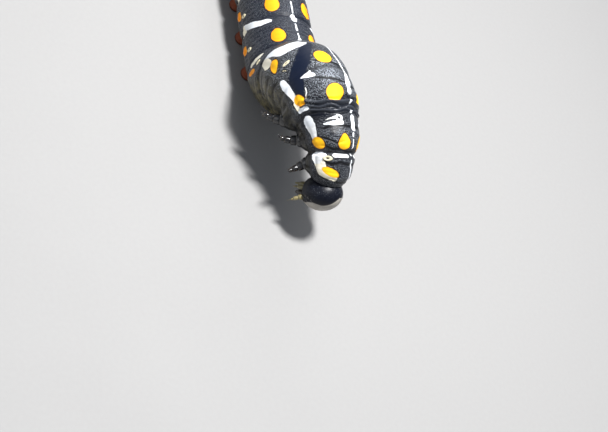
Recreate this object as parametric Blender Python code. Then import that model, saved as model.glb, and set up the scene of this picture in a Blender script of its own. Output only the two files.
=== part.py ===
"""A hawk-moth larva, life size, standing on its prolegs with the front of its body raised and bent down.

The body is a chain of soft segments swept along one centreline, from the tail to the head.
Lengths in the constants are millimetres and angles are degrees. The scene is in metres.
The origin is on the floor, under the middle of the body. +X runs towards the head, +Y is the larva's left.
"""
import bisect
import math

import bmesh
import bpy
import numpy as np

MM = 0.001

# The smallest space between two neighbouring pieces
GAP = 0.3

# Segments from the tail to the neck: length and radius at the middle, then how far the
# centreline bends down, bends to the left and rolls onto its right side over the segment
SEGMENTS = {
    "anal_segment": (4.4, 3.5, 2, 0, 0),
    "abdomen_9": (2.6, 4.2, 2, 0, 0),
    "abdomen_8": (5.6, 4.9, 3, 0, 0),
    "abdomen_7": (6.6, 5.5, 3, 0, 0),
    "abdomen_6": (7.4, 5.8, 0, 0, 0),
    "abdomen_5": (7.7, 6.0, 0, 0, 0),
    "abdomen_4": (7.7, 6.1, 0, 0, 0),
    "abdomen_3": (7.8, 6.2, -8, -2, 0),
    "abdomen_2": (5.9, 6.6, -45, -10, -20),
    "abdomen_1": (7.8, 7.25, 29, 26, -4),
    "thorax_3": (5.2, 6.0, 17, 12, 13),
    "thorax_2": (5.3, 4.5, 29, 5, -5),
    "thorax_1": (4.2, 3.6, 22, 9, -7),
}
NAMES = list(SEGMENTS)
SHORT_SEGMENTS = ["anal_segment", "abdomen_9"]

# Where the tail's tip lies and how steeply the body climbs from there to its middle
TAIL_TIP = (-38.9, 0.6, 5.1)
TAIL_CLIMB = 10
STEP = 0.1

# The skin: a crease between segments, shallow rings on each of them, and a flatter belly
CREASE_DEPTH = 0.34
CREASE_WIDTH = 0.42
ANNULETS = 4
ANNULET_DEPTH = 0.12
BELLY_FLATNESS = 0.08
NECK_RADIUS = 2.85
SIDES = 26
RINGS = 2 * ANNULETS + 1
TAIL_RINGS = 6

# A closed piece of skin, larger by the gap, that keeps legs clear of the body
CUTTER_REACH = 3.0
CUTTER_RINGS = 25
TAIL_CLEARANCE = 0.4

# Breathing openings: raised ovals on each flank, half as tall and half as wide as named here
SPIRACLE_SEGMENTS = [f"abdomen_{number}" for number in range(1, 9)] + ["thorax_1"]
SPIRACLE_PLACE, SPIRACLE_ANGLE = 0.47, 87
SPIRACLE_TALL, SPIRACLE_WIDE = 0.56, 0.3
SPIRACLE_DEPTH = 0.4
SPIRACLE_RISE = [(0.05, 1.0), (0.13, 0.72)]

# The head: its centre lies on the neck's line, its mouth points down the face
HEAD_REACH = 2.5
HEAD_BEND = 12
HEAD_HEIGHT, HEAD_WIDTH, HEAD_DEPTH = 3.5, 3.2, 2.9
MOUTH_FORWARD = 28
MOUTH_LEVEL = 2.8
HEAD_SIDES, HEAD_RINGS = 26, 15
GROOVE_DEPTH, GROOVE_WIDTH = 0.14, 7
CHEEK_SWELL = 0.04
CUT_SIZE = 5

# Mouthparts stand on the flat of the mouth: forward and left of its middle, and their half-sizes
LABRUM = {"forward": 1.3, "wide": 1.15, "thick": 0.3, "long": 0.95}
MANDIBLE = {"forward": 0.24, "left": 0.82, "wide": 0.62, "thick": 0.46, "long": 1.35, "lean": 0.26}
LABIUM = {"forward": -1.0, "wide": 0.95, "thick": 0.48, "long": 1.05}
LOBE_SHARES = [0, 0.2, 0.5, 0.75, 0.92, 1]
LOBE_SWELL = [0.94, 1.0, 0.98, 0.85, 0.62, 0.4]
LOBE_SIDES = 14
SPINNERET = {"long": 0.75, "root": 0.32, "tip": 0.12}

# Feelers: where they root on the head, which way they point, and each joint's length and radius
ANTENNA_POLAR, ANTENNA_AZIMUTH = 134, 72
ANTENNA_HEADING = {"mouth": 0.85, "side": 0.4, "face": 0.3}
ANTENNA_ARTICLES = [(0.6, 0.44), (0.8, 0.34), (0.45, 0.16)]

# Simple eyes on each cheek: angle from the vertex and angle round from the face's middle
STEMMATA = [(96, 66), (104, 76), (114, 80), (123, 72), (110, 57), (124, 50)]
STEMMA_RADIUS = 0.22

# True legs on each thorax segment: where they root, their size against the longest, and how far
# they lean towards the head
LEGS = {"thorax_1": (0.5, 0.84, 34), "thorax_2": (0.45, 0.94, -8), "thorax_3": (0.45, 1.0, -34)}
LEG_ANGLE, LEG_SPLAY = 150, 6
LEG_ROOT_DEPTH = 1.4
LEG_ARTICLES = [(1.15, 1.2, 0), (1.15, 0.86, 14), (1.1, 0.62, 20), (0.75, 0.44, 16)]
CLAW_LENGTH, CLAW_ROOT, CLAW_TIP, CLAW_HOOK = 0.75, 0.3, 0.07, 38
LEG_SIDES = 10
FINE_SIDES = 8

# Prolegs and claspers: place along the segment, angle round from the back, the sole's distance from
# the middle, and the radius from the root down to the sole
PROLEG_SEGMENTS = ["abdomen_3", "abdomen_4", "abdomen_5", "abdomen_6"]
FOOT_ROOT_DEPTH = 2.2
FOOT_FLATNESS = 0.86
FOOT_EASE = 1.4
PROLEG_PLACE, PROLEG_ANGLE, PROLEG_SPREAD = 0.5, 144, 3.4
PROLEG_PROFILE = [(0.0, 2.45), (0.3, 2.2), (0.55, 1.75), (0.76, 1.42), (0.9, 1.5), (0.97, 1.4), (1.0, 1.15)]
CLASPER_PLACE, CLASPER_ANGLE, CLASPER_SPREAD = 0.6, 126, 2.5
CLASPER_PROFILE = [(0.0, 2.0), (0.3, 2.2), (0.5, 2.15), (0.7, 1.8), (0.84, 1.45), (0.93, 1.5), (1.0, 1.2)]
PROLEG_SIDES = 14

# The horn on the eighth abdomen segment
HORN_PLACE = 0.55
HORN_LENGTH, HORN_ROOT, HORN_TIP = 8.6, 0.95, 0.25
HORN_ROOT_DEPTH = 0.9
HORN_LEAN, HORN_CURL = 38, 26
HORN_SIDES, HORN_RINGS = 12, 9

COLOURS = {
    "skin": ((0.016, 0.018, 0.026), 0.6),
    "head": ((0.012, 0.014, 0.022), 0.22),
    "mouthparts": ((0.3, 0.24, 0.17), 0.4),
    "leg": ((0.012, 0.011, 0.012), 0.25),
    "proleg": ((0.24, 0.06, 0.02), 0.55),
    "horn": ((0.42, 0.06, 0.02), 0.4),
}


def remove_all():
    for obj in list(bpy.data.objects):
        bpy.data.objects.remove(obj, do_unlink=True)


def material(name):
    found = bpy.data.materials.get(name)
    if found:
        return found
    colour, roughness = COLOURS[name]
    made = bpy.data.materials.new(name)
    made.use_nodes = True
    shader = made.node_tree.nodes["Principled BSDF"]
    shader.inputs["Base Color"].default_value = (*colour, 1)
    shader.inputs["Roughness"].default_value = roughness
    shader.inputs["Metallic"].default_value = 0
    made.diffuse_color = (*colour, 1)
    return made


def turn(axis, degrees):
    """The matrix that turns a vector about an axis."""
    x, y, z = axis / np.linalg.norm(axis)
    angle = math.radians(degrees)
    cross = np.array([[0, -z, y], [z, 0, -x], [-y, x, 0]])
    return np.eye(3) + math.sin(angle) * cross + (1 - math.cos(angle)) * cross @ cross


# The centreline

def lay_centreline():
    """Walk from the tail's tip to the neck, and return the stations with their frames."""
    climb = turn(np.array([0.0, 1.0, 0.0]), -TAIL_CLIMB)
    place = np.array(TAIL_TIP)
    axes = climb @ np.eye(3)
    along = 0.0
    stations = [along]
    frames = [(place, axes)]
    for length, _, down, left, roll in SEGMENTS.values():
        steps = round(length / STEP)
        for _ in range(steps):
            forward, side, back = axes.T
            share = 1 / steps
            bend = turn(side, down * share) @ turn(back, left * share) @ turn(forward, roll * share)
            new_axes = bend @ axes
            place = place + (axes[:, 0] + new_axes[:, 0]) * length * share / 2
            axes = new_axes
            along += length * share
            stations.append(along)
            frames.append((place, axes))
    return stations, frames


STATIONS, FRAMES = lay_centreline()
BODY_LENGTH = STATIONS[-1]


def span_of(name):
    """Where a segment starts and ends along the centreline."""
    start = sum(SEGMENTS[other][0] for other in NAMES[:NAMES.index(name)])
    return start, start + SEGMENTS[name][0]


def frame_at(along):
    """The centre and the axes (forward, left, back) at a place along the centreline."""
    if along >= BODY_LENGTH:
        place, axes = FRAMES[-1]
        return place + axes[:, 0] * (along - BODY_LENGTH), axes
    if along <= 0:
        place, axes = FRAMES[0]
        return place + axes[:, 0] * along, axes
    index = bisect.bisect_right(STATIONS, along) - 1
    share = (along - STATIONS[index]) / (STATIONS[index + 1] - STATIONS[index])
    place = FRAMES[index][0] * (1 - share) + FRAMES[index + 1][0] * share
    axes = FRAMES[index][1] * (1 - share) + FRAMES[index + 1][1] * share
    return place, axes / np.linalg.norm(axes, axis=0)


# The skin's surface

def smooth_radius(along):
    """The radius without creases, eased from the middle of one segment to the next."""
    middles = [sum(span_of(name)) / 2 for name in NAMES]
    radii = [SEGMENTS[name][1] for name in NAMES]
    if along <= middles[0]:
        rise = 1 - max(along, 0) / middles[0]
        return radii[0] * math.sqrt(max(1 - rise ** 2, 0))
    if along >= middles[-1]:
        share = (along - middles[-1]) / (BODY_LENGTH - middles[-1])
        return radii[-1] + (NECK_RADIUS - radii[-1]) * share ** 2
    index = bisect.bisect_right(middles, along) - 1
    share = (along - middles[index]) / (middles[index + 1] - middles[index])
    ease = share * 0.5 + (3 - 2 * share) * share ** 2 * 0.5
    return radii[index] * (1 - ease) + radii[index + 1] * ease


def crease_at(along):
    """How deep the skin is drawn in at a place, by the folds between segments and the rings on them."""
    depth = 0.0
    for name in NAMES[1:]:
        start, end = span_of(name)
        depth += CREASE_DEPTH * math.exp(-((along - start) / CREASE_WIDTH) ** 2)
        if start < along < end and name not in SHORT_SEGMENTS:
            share = (along - start) / (end - start)
            depth += ANNULET_DEPTH * (1 + math.cos(2 * math.pi * ANNULETS * share)) / 2
    return depth


def skin_point(along, angle, extra=0.0):
    """A point on the skin, by its angle from the middle of the back towards the right side."""
    place, axes = frame_at(along)
    radius = smooth_radius(along) - crease_at(along) + extra
    turned = math.radians(angle)
    belly = max(-math.cos(turned), 0) ** 2
    radius *= 1 - BELLY_FLATNESS * belly
    return place + radius * (math.cos(turned) * axes[:, 2] - math.sin(turned) * axes[:, 1])


def outward(along, angle):
    """The direction out of the body at a place on the skin."""
    axes = frame_at(along)[1]
    turned = math.radians(angle)
    return math.cos(turned) * axes[:, 2] - math.sin(turned) * axes[:, 1]


# Building closed meshes from rings of points

def skin_rings(loops, start_point, end_point, name):
    """Join rings of points, each with as many points, into one closed body."""
    mesh = bmesh.new()
    rows = [[mesh.verts.new(tuple(np.array(point) * MM)) for point in loop] for loop in loops]
    count = len(rows[0])
    for low, high in zip(rows, rows[1:]):
        for index in range(count):
            after = (index + 1) % count
            mesh.faces.new((low[index], low[after], high[after], high[index]))
    for row, point in ((rows[0], start_point), (rows[-1], end_point)):
        centre = mesh.verts.new(tuple(np.array(point) * MM))
        for index in range(count):
            mesh.faces.new((row[index], row[(index + 1) % count], centre))
    bmesh.ops.recalc_face_normals(mesh, faces=mesh.faces)
    data = bpy.data.meshes.new(name)
    mesh.to_mesh(data)
    mesh.free()
    return data


def add_object(name, data, finish):
    obj = bpy.data.objects.new(name, data)
    bpy.context.scene.collection.objects.link(obj)
    data.materials.clear()
    data.materials.append(material(finish))
    data.shade_smooth()
    data.set_sharp_from_angle(angle=math.radians(40))
    return obj


def body_tube(start, end, extra, name, rings=RINGS):
    """The skin between two places along the body, closed by flat ends."""
    shares = np.linspace(0, 1, rings)
    loops = []
    for share in shares:
        along = start + (end - start) * share
        loops.append([skin_point(along, 360 * k / SIDES, extra) for k in range(SIDES)])
    return skin_rings(loops, frame_at(start)[0], frame_at(end)[0], name)


def keep_largest(data):
    """Keep only the closed surface with the most faces."""
    mesh = bmesh.new()
    mesh.from_mesh(data)
    left = set(mesh.faces)
    groups = []
    while left:
        todo = [left.pop()]
        group = list(todo)
        while todo:
            for edge in todo.pop().edges:
                for face in edge.link_faces:
                    if face in left:
                        left.discard(face)
                        todo.append(face)
                        group.append(face)
        groups.append(group)
    largest = max(groups, key=len)
    chosen = set(largest)
    bmesh.ops.delete(mesh, geom=[face for face in mesh.faces if face not in chosen], context="FACES")
    mesh.to_mesh(data)
    mesh.free()


def combine(data, others, operation, name):
    """Cut other closed meshes from this one, or fuse them with it."""
    collection = bpy.data.collections.new("tools")
    target = bpy.data.objects.new("target", data)
    bpy.context.scene.collection.children.link(collection)
    bpy.context.scene.collection.objects.link(target)
    tools = [bpy.data.objects.new("tool", other) for other in others]
    for tool in tools:
        collection.objects.link(tool)
    modifier = target.modifiers.new("combine", "BOOLEAN")
    modifier.operation = operation
    modifier.solver = "EXACT"
    modifier.operand_type = "COLLECTION"
    modifier.collection = collection
    bpy.context.view_layer.update()
    evaluated = target.evaluated_get(bpy.context.evaluated_depsgraph_get())
    result = bpy.data.meshes.new_from_object(evaluated)
    result.name = name
    for obj in [target] + tools:
        bpy.data.objects.remove(obj, do_unlink=True)
    bpy.data.collections.remove(collection)
    keep_largest(result)
    return result


def swept(path, radii, across, sides, name):
    """A tube along a path of points, with one radius at each point, or one across and one deep."""
    loops = []
    count = len(path)
    for index, (point, radius) in enumerate(zip(path, radii)):
        before, after = path[max(index - 1, 0)], path[min(index + 1, count - 1)]
        heading = after - before
        heading = heading / np.linalg.norm(heading)
        side = across - heading * np.dot(across, heading)
        side = side / np.linalg.norm(side)
        other = np.cross(heading, side)
        wide, deep = radius if isinstance(radius, tuple) else (radius, radius)
        angles = [2 * math.pi * k / sides for k in range(sides)]
        loops.append([point + math.cos(a) * wide * side + math.sin(a) * deep * other for a in angles])
    return skin_rings(loops, path[0], path[-1], name)


# The segments

def build_tail():
    start, end = span_of("anal_segment")
    cosines = [1 - math.cos(math.pi / 2 * (k + 1) / TAIL_RINGS) for k in range(TAIL_RINGS)]
    loops = []
    for share in cosines:
        along = start + (end - GAP / 2 - start) * share
        loops.append([skin_point(along, 360 * k / SIDES) for k in range(SIDES)])
    data = skin_rings(loops, frame_at(start)[0], frame_at(end - GAP / 2)[0], "anal_segment")
    add_object("anal_segment", data, "skin")


def build_segments():
    for name in NAMES[1:]:
        start, end = span_of(name)
        data = body_tube(start + GAP / 2, end - GAP / 2, 0, name)
        if name in SPIRACLE_SEGMENTS:
            along = start + (end - start) * SPIRACLE_PLACE
            ovals = [spiracle(along, SPIRACLE_ANGLE * flip) for flip in (-1, 1)]
            data = combine(data, ovals, "UNION", name)
        add_object(name, data, "skin")


def spiracle(along, angle):
    """A breathing opening's raised oval, taller than wide, that reaches into the flank."""
    out = outward(along, angle)
    point = skin_point(along, angle)
    across = np.cross(frame_at(along)[1][:, 0], out)
    rises = [(-SPIRACLE_DEPTH, 1.0)] + SPIRACLE_RISE
    path = [point + out * rise for rise, _ in rises]
    radii = [(SPIRACLE_TALL * size, SPIRACLE_WIDE * size) for _, size in rises]
    return swept(path, radii, across, LOBE_SIDES, "spiracle")


def swollen_body(name):
    """The skin of one segment and parts of its neighbours, larger by the gap, as a cutter."""
    start, end = span_of(name)
    low = max(start - CUTTER_REACH, TAIL_CLEARANCE)
    high = min(end + CUTTER_REACH, BODY_LENGTH - GAP)
    return body_tube(low, high, GAP, "cutter", rings=CUTTER_RINGS)


# The head

def head_frame():
    """The head's centre, and its directions: to the face, to the left, and to the mouth."""
    place, axes = frame_at(BODY_LENGTH)
    forward, side, back = (turn(axes[:, 1], HEAD_BEND) @ axes).T
    centre = place + axes[:, 0] * HEAD_REACH
    mouth = turn(side, -MOUTH_FORWARD) @ -back
    face = np.cross(mouth, side)
    return centre, face, side, mouth


def head_point(polar, azimuth, extra=0.0):
    """A point on the head by its angle from the vertex and its angle round from the face to the left."""
    centre, face, side, mouth = head_frame()
    down, turned = math.radians(polar), math.radians(azimuth)
    cheeks = 1 + CHEEK_SWELL * math.sin(down) ** 2 * math.sin(turned) ** 2
    beside = azimuth_from_middle(azimuth) / GROOVE_WIDTH
    groove = GROOVE_DEPTH * math.exp(-beside ** 2) * max(math.cos(down / 2), 0)
    forward = (HEAD_DEPTH + extra - groove) * math.sin(down) * math.cos(turned)
    left = (HEAD_WIDTH + extra) * math.sin(down) * math.sin(turned) * cheeks
    low = -(HEAD_HEIGHT + extra - groove) * math.cos(down)
    return centre + forward * face + left * side + low * mouth


def azimuth_from_middle(azimuth):
    """The angle to the middle of the face, from either side."""
    return abs((azimuth + 180) % 360 - 180)


def head_shell(extra, name):
    loops = []
    for ring in range(1, HEAD_RINGS):
        polar = 180 * ring / HEAD_RINGS
        loops.append([head_point(polar, 360 * k / HEAD_SIDES, extra) for k in range(HEAD_SIDES)])
    return skin_rings(loops, head_point(0, 0, extra), head_point(180, 0, extra), name)


def slab(centre, normal, across, name):
    """A square block whose first face lies at the centre and which reaches along the normal."""
    other = np.cross(normal, across)
    corners = [(-1, -1), (1, -1), (1, 1), (-1, 1)]
    base = [centre + CUT_SIZE * (x * across + y * other) for x, y in corners]
    top = [point + CUT_SIZE * normal for point in base]
    return skin_rings([base, top], centre, centre + CUT_SIZE * normal, name)


def build_head():
    centre, face, side, mouth = head_frame()
    place, axes = frame_at(BODY_LENGTH)
    shell = head_shell(0, "head_capsule")
    neck_cut = slab(place + axes[:, 0] * GAP / 2, -axes[:, 0], axes[:, 1], "neck_cut")
    mouth_cut = slab(centre + mouth * MOUTH_LEVEL, mouth, side, "mouth_cut")
    cut = combine(shell, [neck_cut, mouth_cut], "DIFFERENCE", "head_capsule")
    bumps = []
    for flip in (-1, 1):
        for polar, azimuth in STEMMATA:
            point = head_point(polar, azimuth * flip)
            bumps.append(ball(point, STEMMA_RADIUS, "stemma"))
    data = combine(cut, bumps, "UNION", "head_capsule")
    add_object("head_capsule", data, "head")


def ball(centre, radius, name):
    mesh = bmesh.new()
    bmesh.ops.create_icosphere(mesh, subdivisions=1, radius=radius * MM)
    bmesh.ops.translate(mesh, verts=mesh.verts, vec=tuple(np.array(centre) * MM))
    data = bpy.data.meshes.new(name)
    mesh.to_mesh(data)
    mesh.free()
    return data


# Mouthparts and feelers

def mouth_lobe(sizes, name, flip=1):
    """A rounded, tapering lobe that hangs from the mouth's flat, with the place of its tip."""
    centre, face, side, mouth = head_frame()
    left = sizes.get("left", 0) * flip
    lean = sizes.get("lean", 0) * flip
    root = centre + mouth * (MOUTH_LEVEL + GAP) + face * sizes["forward"] + side * left
    path = [root + mouth * sizes["long"] * share - side * lean * share ** 2 for share in LOBE_SHARES]
    radii = [(sizes["wide"] * swell, sizes["thick"] * swell) for swell in LOBE_SWELL]
    return swept(path, radii, side, LOBE_SIDES, name), path[-1]


def build_mouthparts():
    add_object("labrum", mouth_lobe(LABRUM, "labrum")[0], "mouthparts")
    for word, flip in (("left", 1), ("right", -1)):
        add_object(f"mandible_{word}", mouth_lobe(MANDIBLE, f"mandible_{word}", flip)[0], "leg")
    base, tip = mouth_lobe(LABIUM, "labium")
    side, mouth = head_frame()[2:]
    reaches = [-SPINNERET["root"], SPINNERET["long"] / 2, SPINNERET["long"]]
    path = [tip + mouth * reach for reach in reaches]
    middle = (SPINNERET["root"] + SPINNERET["tip"]) / 2
    cone = swept(path, [SPINNERET["root"], middle, SPINNERET["tip"]], side, FINE_SIDES, "spinneret")
    add_object("labium", combine(base, [cone], "UNION", "labium"), "mouthparts")


def build_antennae():
    face, side, mouth = head_frame()[1:]
    for word, flip in (("left", 1), ("right", -1)):
        root = head_point(ANTENNA_POLAR, ANTENNA_AZIMUTH * flip)
        lean = side * ANTENNA_HEADING["side"] * flip + face * ANTENNA_HEADING["face"]
        heading = mouth * ANTENNA_HEADING["mouth"] + lean
        heading = heading / np.linalg.norm(heading)
        path, radii = [root - heading * GAP], [ANTENNA_ARTICLES[0][1]]
        place = root
        for length, radius in ANTENNA_ARTICLES:
            path += [place + heading * length * 0.12, place + heading * length]
            radii += [radius, radius * 0.9]
            place = place + heading * length
        data = swept(path, radii, face, FINE_SIDES, f"antenna_{word}")
        cutter = head_shell(GAP, "cutter")
        add_object(f"antenna_{word}", combine(data, [cutter], "DIFFERENCE", data.name), "mouthparts")


# Legs, prolegs and horn

def leg_path(name, flip):
    """The points and radii of a true leg, from inside the body to the claw's tip."""
    place_share, size, lean = LEGS[name]
    start, end = span_of(name)
    along = start + (end - start) * place_share
    root = skin_point(along, LEG_ANGLE * flip)
    axes = frame_at(along)[1]
    out = outward(along, (LEG_ANGLE + LEG_SPLAY) * flip)
    heading = out * math.cos(math.radians(lean)) + axes[:, 0] * math.sin(math.radians(lean))
    hinge = axes[:, 0] * 0.9 + axes[:, 2] * 0.35
    hinge = hinge / np.linalg.norm(hinge) * flip
    path, radii = [root - heading * LEG_ROOT_DEPTH], [LEG_ARTICLES[0][1] * size]
    place = root
    for length, radius, bend in LEG_ARTICLES:
        heading = turn(hinge, -bend) @ heading
        for share, grow in ((0.1, 0.94), (0.55, 1.0), (0.95, 0.82)):
            path.append(place + heading * length * size * share)
            radii.append(radius * size * grow)
        place = place + heading * length * size
    for share in (0.1, 0.55, 1.0):
        heading = turn(hinge, -CLAW_HOOK / 3) @ heading
        path.append(place + heading * CLAW_LENGTH * size * share)
        radii.append((CLAW_ROOT * (1 - share) + CLAW_TIP * share) * size)
    return path, radii, axes[:, 0]


def build_legs():
    for name in LEGS:
        for word, flip in (("right", 1), ("left", -1)):
            path, radii, across = leg_path(name, flip)
            title = f"leg_{name[-1]}_{word}"
            data = swept(path, radii, across, LEG_SIDES, title)
            add_object(title, combine(data, [swollen_body(name)], "DIFFERENCE", title), "leg")


def foot(name, place_share, angle, spread, profile, flip, title):
    """A proleg: a fleshy column from inside the body down to a flat sole on the floor."""
    start, end = span_of(name)
    along = start + (end - start) * place_share
    place, axes = frame_at(along)
    root = skin_point(along, angle * flip, -FOOT_ROOT_DEPTH)
    sole = np.array([root[0], place[1] - spread * flip, 0.0])
    loops = []
    for share, radius in profile:
        ease = share ** FOOT_EASE
        centre = root * (1 - ease) + sole * ease
        centre[2] = root[2] * (1 - share)
        angles = [2 * math.pi * k / PROLEG_SIDES for k in range(PROLEG_SIDES)]
        flat = radius * FOOT_FLATNESS
        loops.append([centre + np.array([radius * math.cos(a), flat * math.sin(a), 0]) for a in angles])
    return skin_rings(loops, root, sole, title)


def build_prolegs():
    for name in PROLEG_SEGMENTS:
        for word, flip in (("right", 1), ("left", -1)):
            title = f"proleg_{name[-1]}_{word}"
            place = (name, PROLEG_PLACE, PROLEG_ANGLE, PROLEG_SPREAD)
            data = foot(*place, PROLEG_PROFILE, flip, title)
            add_object(title, combine(data, [swollen_body(name)], "DIFFERENCE", title), "proleg")
    name = "anal_segment"
    for word, flip in (("right", 1), ("left", -1)):
        title = f"clasper_{word}"
        data = foot(name, CLASPER_PLACE, CLASPER_ANGLE, CLASPER_SPREAD, CLASPER_PROFILE, flip, title)
        add_object(title, combine(data, [swollen_body(name)], "DIFFERENCE", title), "proleg")


def build_horn():
    start, end = span_of("abdomen_8")
    along = start + (end - start) * HORN_PLACE
    axes = frame_at(along)[1]
    heading = turn(axes[:, 1], -HORN_LEAN) @ axes[:, 2]
    place = skin_point(along, 0) - heading * HORN_ROOT_DEPTH
    path, radii = [], []
    for ring in range(HORN_RINGS):
        share = ring / (HORN_RINGS - 1)
        path.append(place)
        radii.append(HORN_ROOT * (1 - share) ** 0.9 + HORN_TIP * share)
        heading = turn(axes[:, 1], -HORN_CURL / (HORN_RINGS - 1)) @ heading
        place = place + heading * HORN_LENGTH / (HORN_RINGS - 1)
    data = swept(path, radii, axes[:, 1], HORN_SIDES, "horn")
    add_object("horn", combine(data, [swollen_body("abdomen_8")], "DIFFERENCE", "horn"), "horn")


def main():
    remove_all()
    build_tail()
    build_segments()
    build_head()
    build_mouthparts()
    build_antennae()
    build_legs()
    build_prolegs()
    build_horn()


main()
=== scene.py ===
"""A hawk-moth larva with its skin and markings, hard head, jointed legs and horn, on a pale floor.

The body's centreline and sizes are those of its solids, in millimetres and degrees.
Pieces are turned into metres when their meshes are made. +X runs towards the head, +Y is the larva's left.
"""
import bisect
import math

import bmesh
import bpy
import numpy as np
from mathutils import Matrix, Vector


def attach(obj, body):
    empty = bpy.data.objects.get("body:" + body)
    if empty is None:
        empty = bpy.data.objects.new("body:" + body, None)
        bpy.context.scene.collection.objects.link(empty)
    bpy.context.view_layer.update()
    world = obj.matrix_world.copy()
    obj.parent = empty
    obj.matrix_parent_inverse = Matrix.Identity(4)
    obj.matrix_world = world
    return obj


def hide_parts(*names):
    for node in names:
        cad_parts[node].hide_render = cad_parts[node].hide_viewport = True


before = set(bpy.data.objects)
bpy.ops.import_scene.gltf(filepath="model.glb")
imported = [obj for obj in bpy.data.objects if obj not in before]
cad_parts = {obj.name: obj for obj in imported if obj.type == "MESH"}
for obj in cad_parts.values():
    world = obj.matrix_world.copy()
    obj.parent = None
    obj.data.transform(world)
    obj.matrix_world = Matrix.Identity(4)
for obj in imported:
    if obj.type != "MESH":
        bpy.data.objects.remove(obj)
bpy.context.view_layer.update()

MM = 0.001
BODY = "root"

# Segments from the tail to the neck: length and radius at the middle, then how far the
# centreline bends down, bends to the left and rolls onto its right side over the segment
SEGMENTS = {
    "anal_segment": (4.4, 3.5, 2, 0, 0),
    "abdomen_9": (2.6, 4.2, 2, 0, 0),
    "abdomen_8": (5.6, 4.9, 3, 0, 0),
    "abdomen_7": (6.6, 5.5, 3, 0, 0),
    "abdomen_6": (7.4, 5.8, 0, 0, 0),
    "abdomen_5": (7.7, 6.0, 0, 0, 0),
    "abdomen_4": (7.7, 6.1, 0, 0, 0),
    "abdomen_3": (7.8, 6.2, -8, -2, 0),
    "abdomen_2": (5.9, 6.6, -45, -10, -20),
    "abdomen_1": (7.8, 7.25, 29, 26, -4),
    "thorax_3": (5.2, 6.0, 17, 12, 13),
    "thorax_2": (5.3, 4.5, 29, 5, -5),
    "thorax_1": (4.2, 3.6, 22, 9, -7),
}
NAMES = list(SEGMENTS)
ABDOMEN = [f"abdomen_{number}" for number in range(2, 9)]
TAIL_TIP = (-38.9, 0.6, 5.1)
TAIL_CLIMB = 10
STEP = 0.1

# The skin's form: creases between segments, rings, wrinkles, a flatter belly, the rounded tail and the
# collar round the neck, and a fold with a groove over it along each flank
CREASE_DEPTH, CREASE_WIDTH = 0.34, 0.42
CREASE_DEPTHS = {"thorax_3": 0.05, "thorax_2": 0.12, "thorax_1": 0.42}
BELLY_FLATNESS = 0.08
NECK_RADIUS, NECK_REACH = 2.85, 0.85
TAIL_REACH = 2.2
SEGMENT_SWELL = 0.12
ABDOMEN_RINGS = 8
RING_COUNTS = {"abdomen_9": 4, "thorax_3": 6, "thorax_2": 6, "thorax_1": 5}
RING_DEPTH = 0.085
SHALLOW_RINGS = {"abdomen_1": 0.3, "thorax_3": 0.4, "thorax_2": 0.3, "thorax_1": 0.45}
WRINKLE_DEPTH = 0.028
FLANK_FOLD_ANGLE, FLANK_FOLD_RISE, FLANK_FOLD_WIDTH = 113, 0.24, 9
FLANK_GROOVE_ANGLE, FLANK_GROOVE_DEPTH, FLANK_GROOVE_WIDTH = 100, 0.13, 4.5

# Sharp folds on the fore body, by segment: place along it at each of FOLD_ANGLES, depth, width, waviness,
# and the angles where they start and end, which they do over FOLD_EASE degrees
FOLD_ANGLES, FOLD_EASE = (0, 45, 90, 135), 14
FOLDS = {
    "abdomen_1": [
        ((0.92, 0.91, 0.9, 0.9), 0.12, 0.2, 0.3, -20, 60),
        ((0.1, 0.1, 0.12, 0.06), 0.36, 0.32, 0.45, 100, 190),
        ((0.3, 0.3, 0.32, 0.26), 0.42, 0.34, 0.5, 102, 190),
        ((0.5, 0.5, 0.52, 0.5), 0.38, 0.34, 0.5, 102, 190),
        ((0.7, 0.7, 0.76, 0.76), 0.42, 0.32, 0.5, 104, 190),
    ],
    "thorax_3": [
        ((0.5, 0.3, 0.14, 0.1), 0.26, 0.17, 0.2, -20, 68), ((0.3, 0.3, 0.3, 0.3), 0.3, 0.28, 0.4, 112, 190),
        ((0.7, 0.7, 0.7, 0.66), 0.32, 0.28, 0.4, 108, 190),
    ],
    "thorax_2": [
        ((0.44, 0.43, 0.42, 0.42), 0.14, 0.2, 0.2, -20, 80),
        ((0.68, 0.78, 0.58, 0.6), 0.26, 0.17, 0.15, 16, 84),
        ((0.97, 0.92, 0.86, 0.8), 0.3, 0.2, 0.25, -20, 84),
        ((0.5, 0.5, 0.5, 0.5), 0.24, 0.26, 0.35, 110, 190),
    ],
    "thorax_1": [
        ((0.3, 0.3, 0.3, 0.3), 0.16, 0.2, 0.2, -20, 90), ((0.84, 0.82, 0.8, 0.8), 0.14, 0.2, 0.2, -20, 110),
    ],
}
# How far the creases between segments wander
MEANDER = 0.16

# Lumps of noise on the skin: their size along and round the body, and for some where they are cut from
# the noise. Waves bend the creases, ripples bend the rings, and the rest roughen rings and skin
WAVE_LUMPS, FOLD_LUMPS, TUCK_LUMPS = (9.0, 2.5), (12.0, 1.3), (12.0, 1.7)
RIPPLE_LUMPS, RING_LUMPS = (3.0, 0.9, 11), (2.0, 2.0, 5)
WRINKLE_LUMPS, PORE_LUMPS = (0.55, 1.6, 23), (0.4, 0.5, 31)
LUMP_RADIUS = 5.0

# Three glossy folds where the third thorax segment meets the second: the four creases that bound them, as
# places on the third segment at angles of 0, 45 and 90, then their depth, bulge, waviness and last angle,
# how far each crease sways on its own, and the least breadth of a tuck
TUCKS = [(0.86, 0.82, 0.6), (0.965, 0.925, 0.71), (1.07, 1.03, 0.83), (1.16, 1.12, 0.95)]
TUCK_DEPTH, TUCK_BULGE, TUCK_WAVE, TUCK_LAST = 0.44, 0.22, 0.36, 100
TUCK_SWAYS, TUCK_LEAST = (0.2, 0.36, 0.28, 0.0), 0.34

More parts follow.
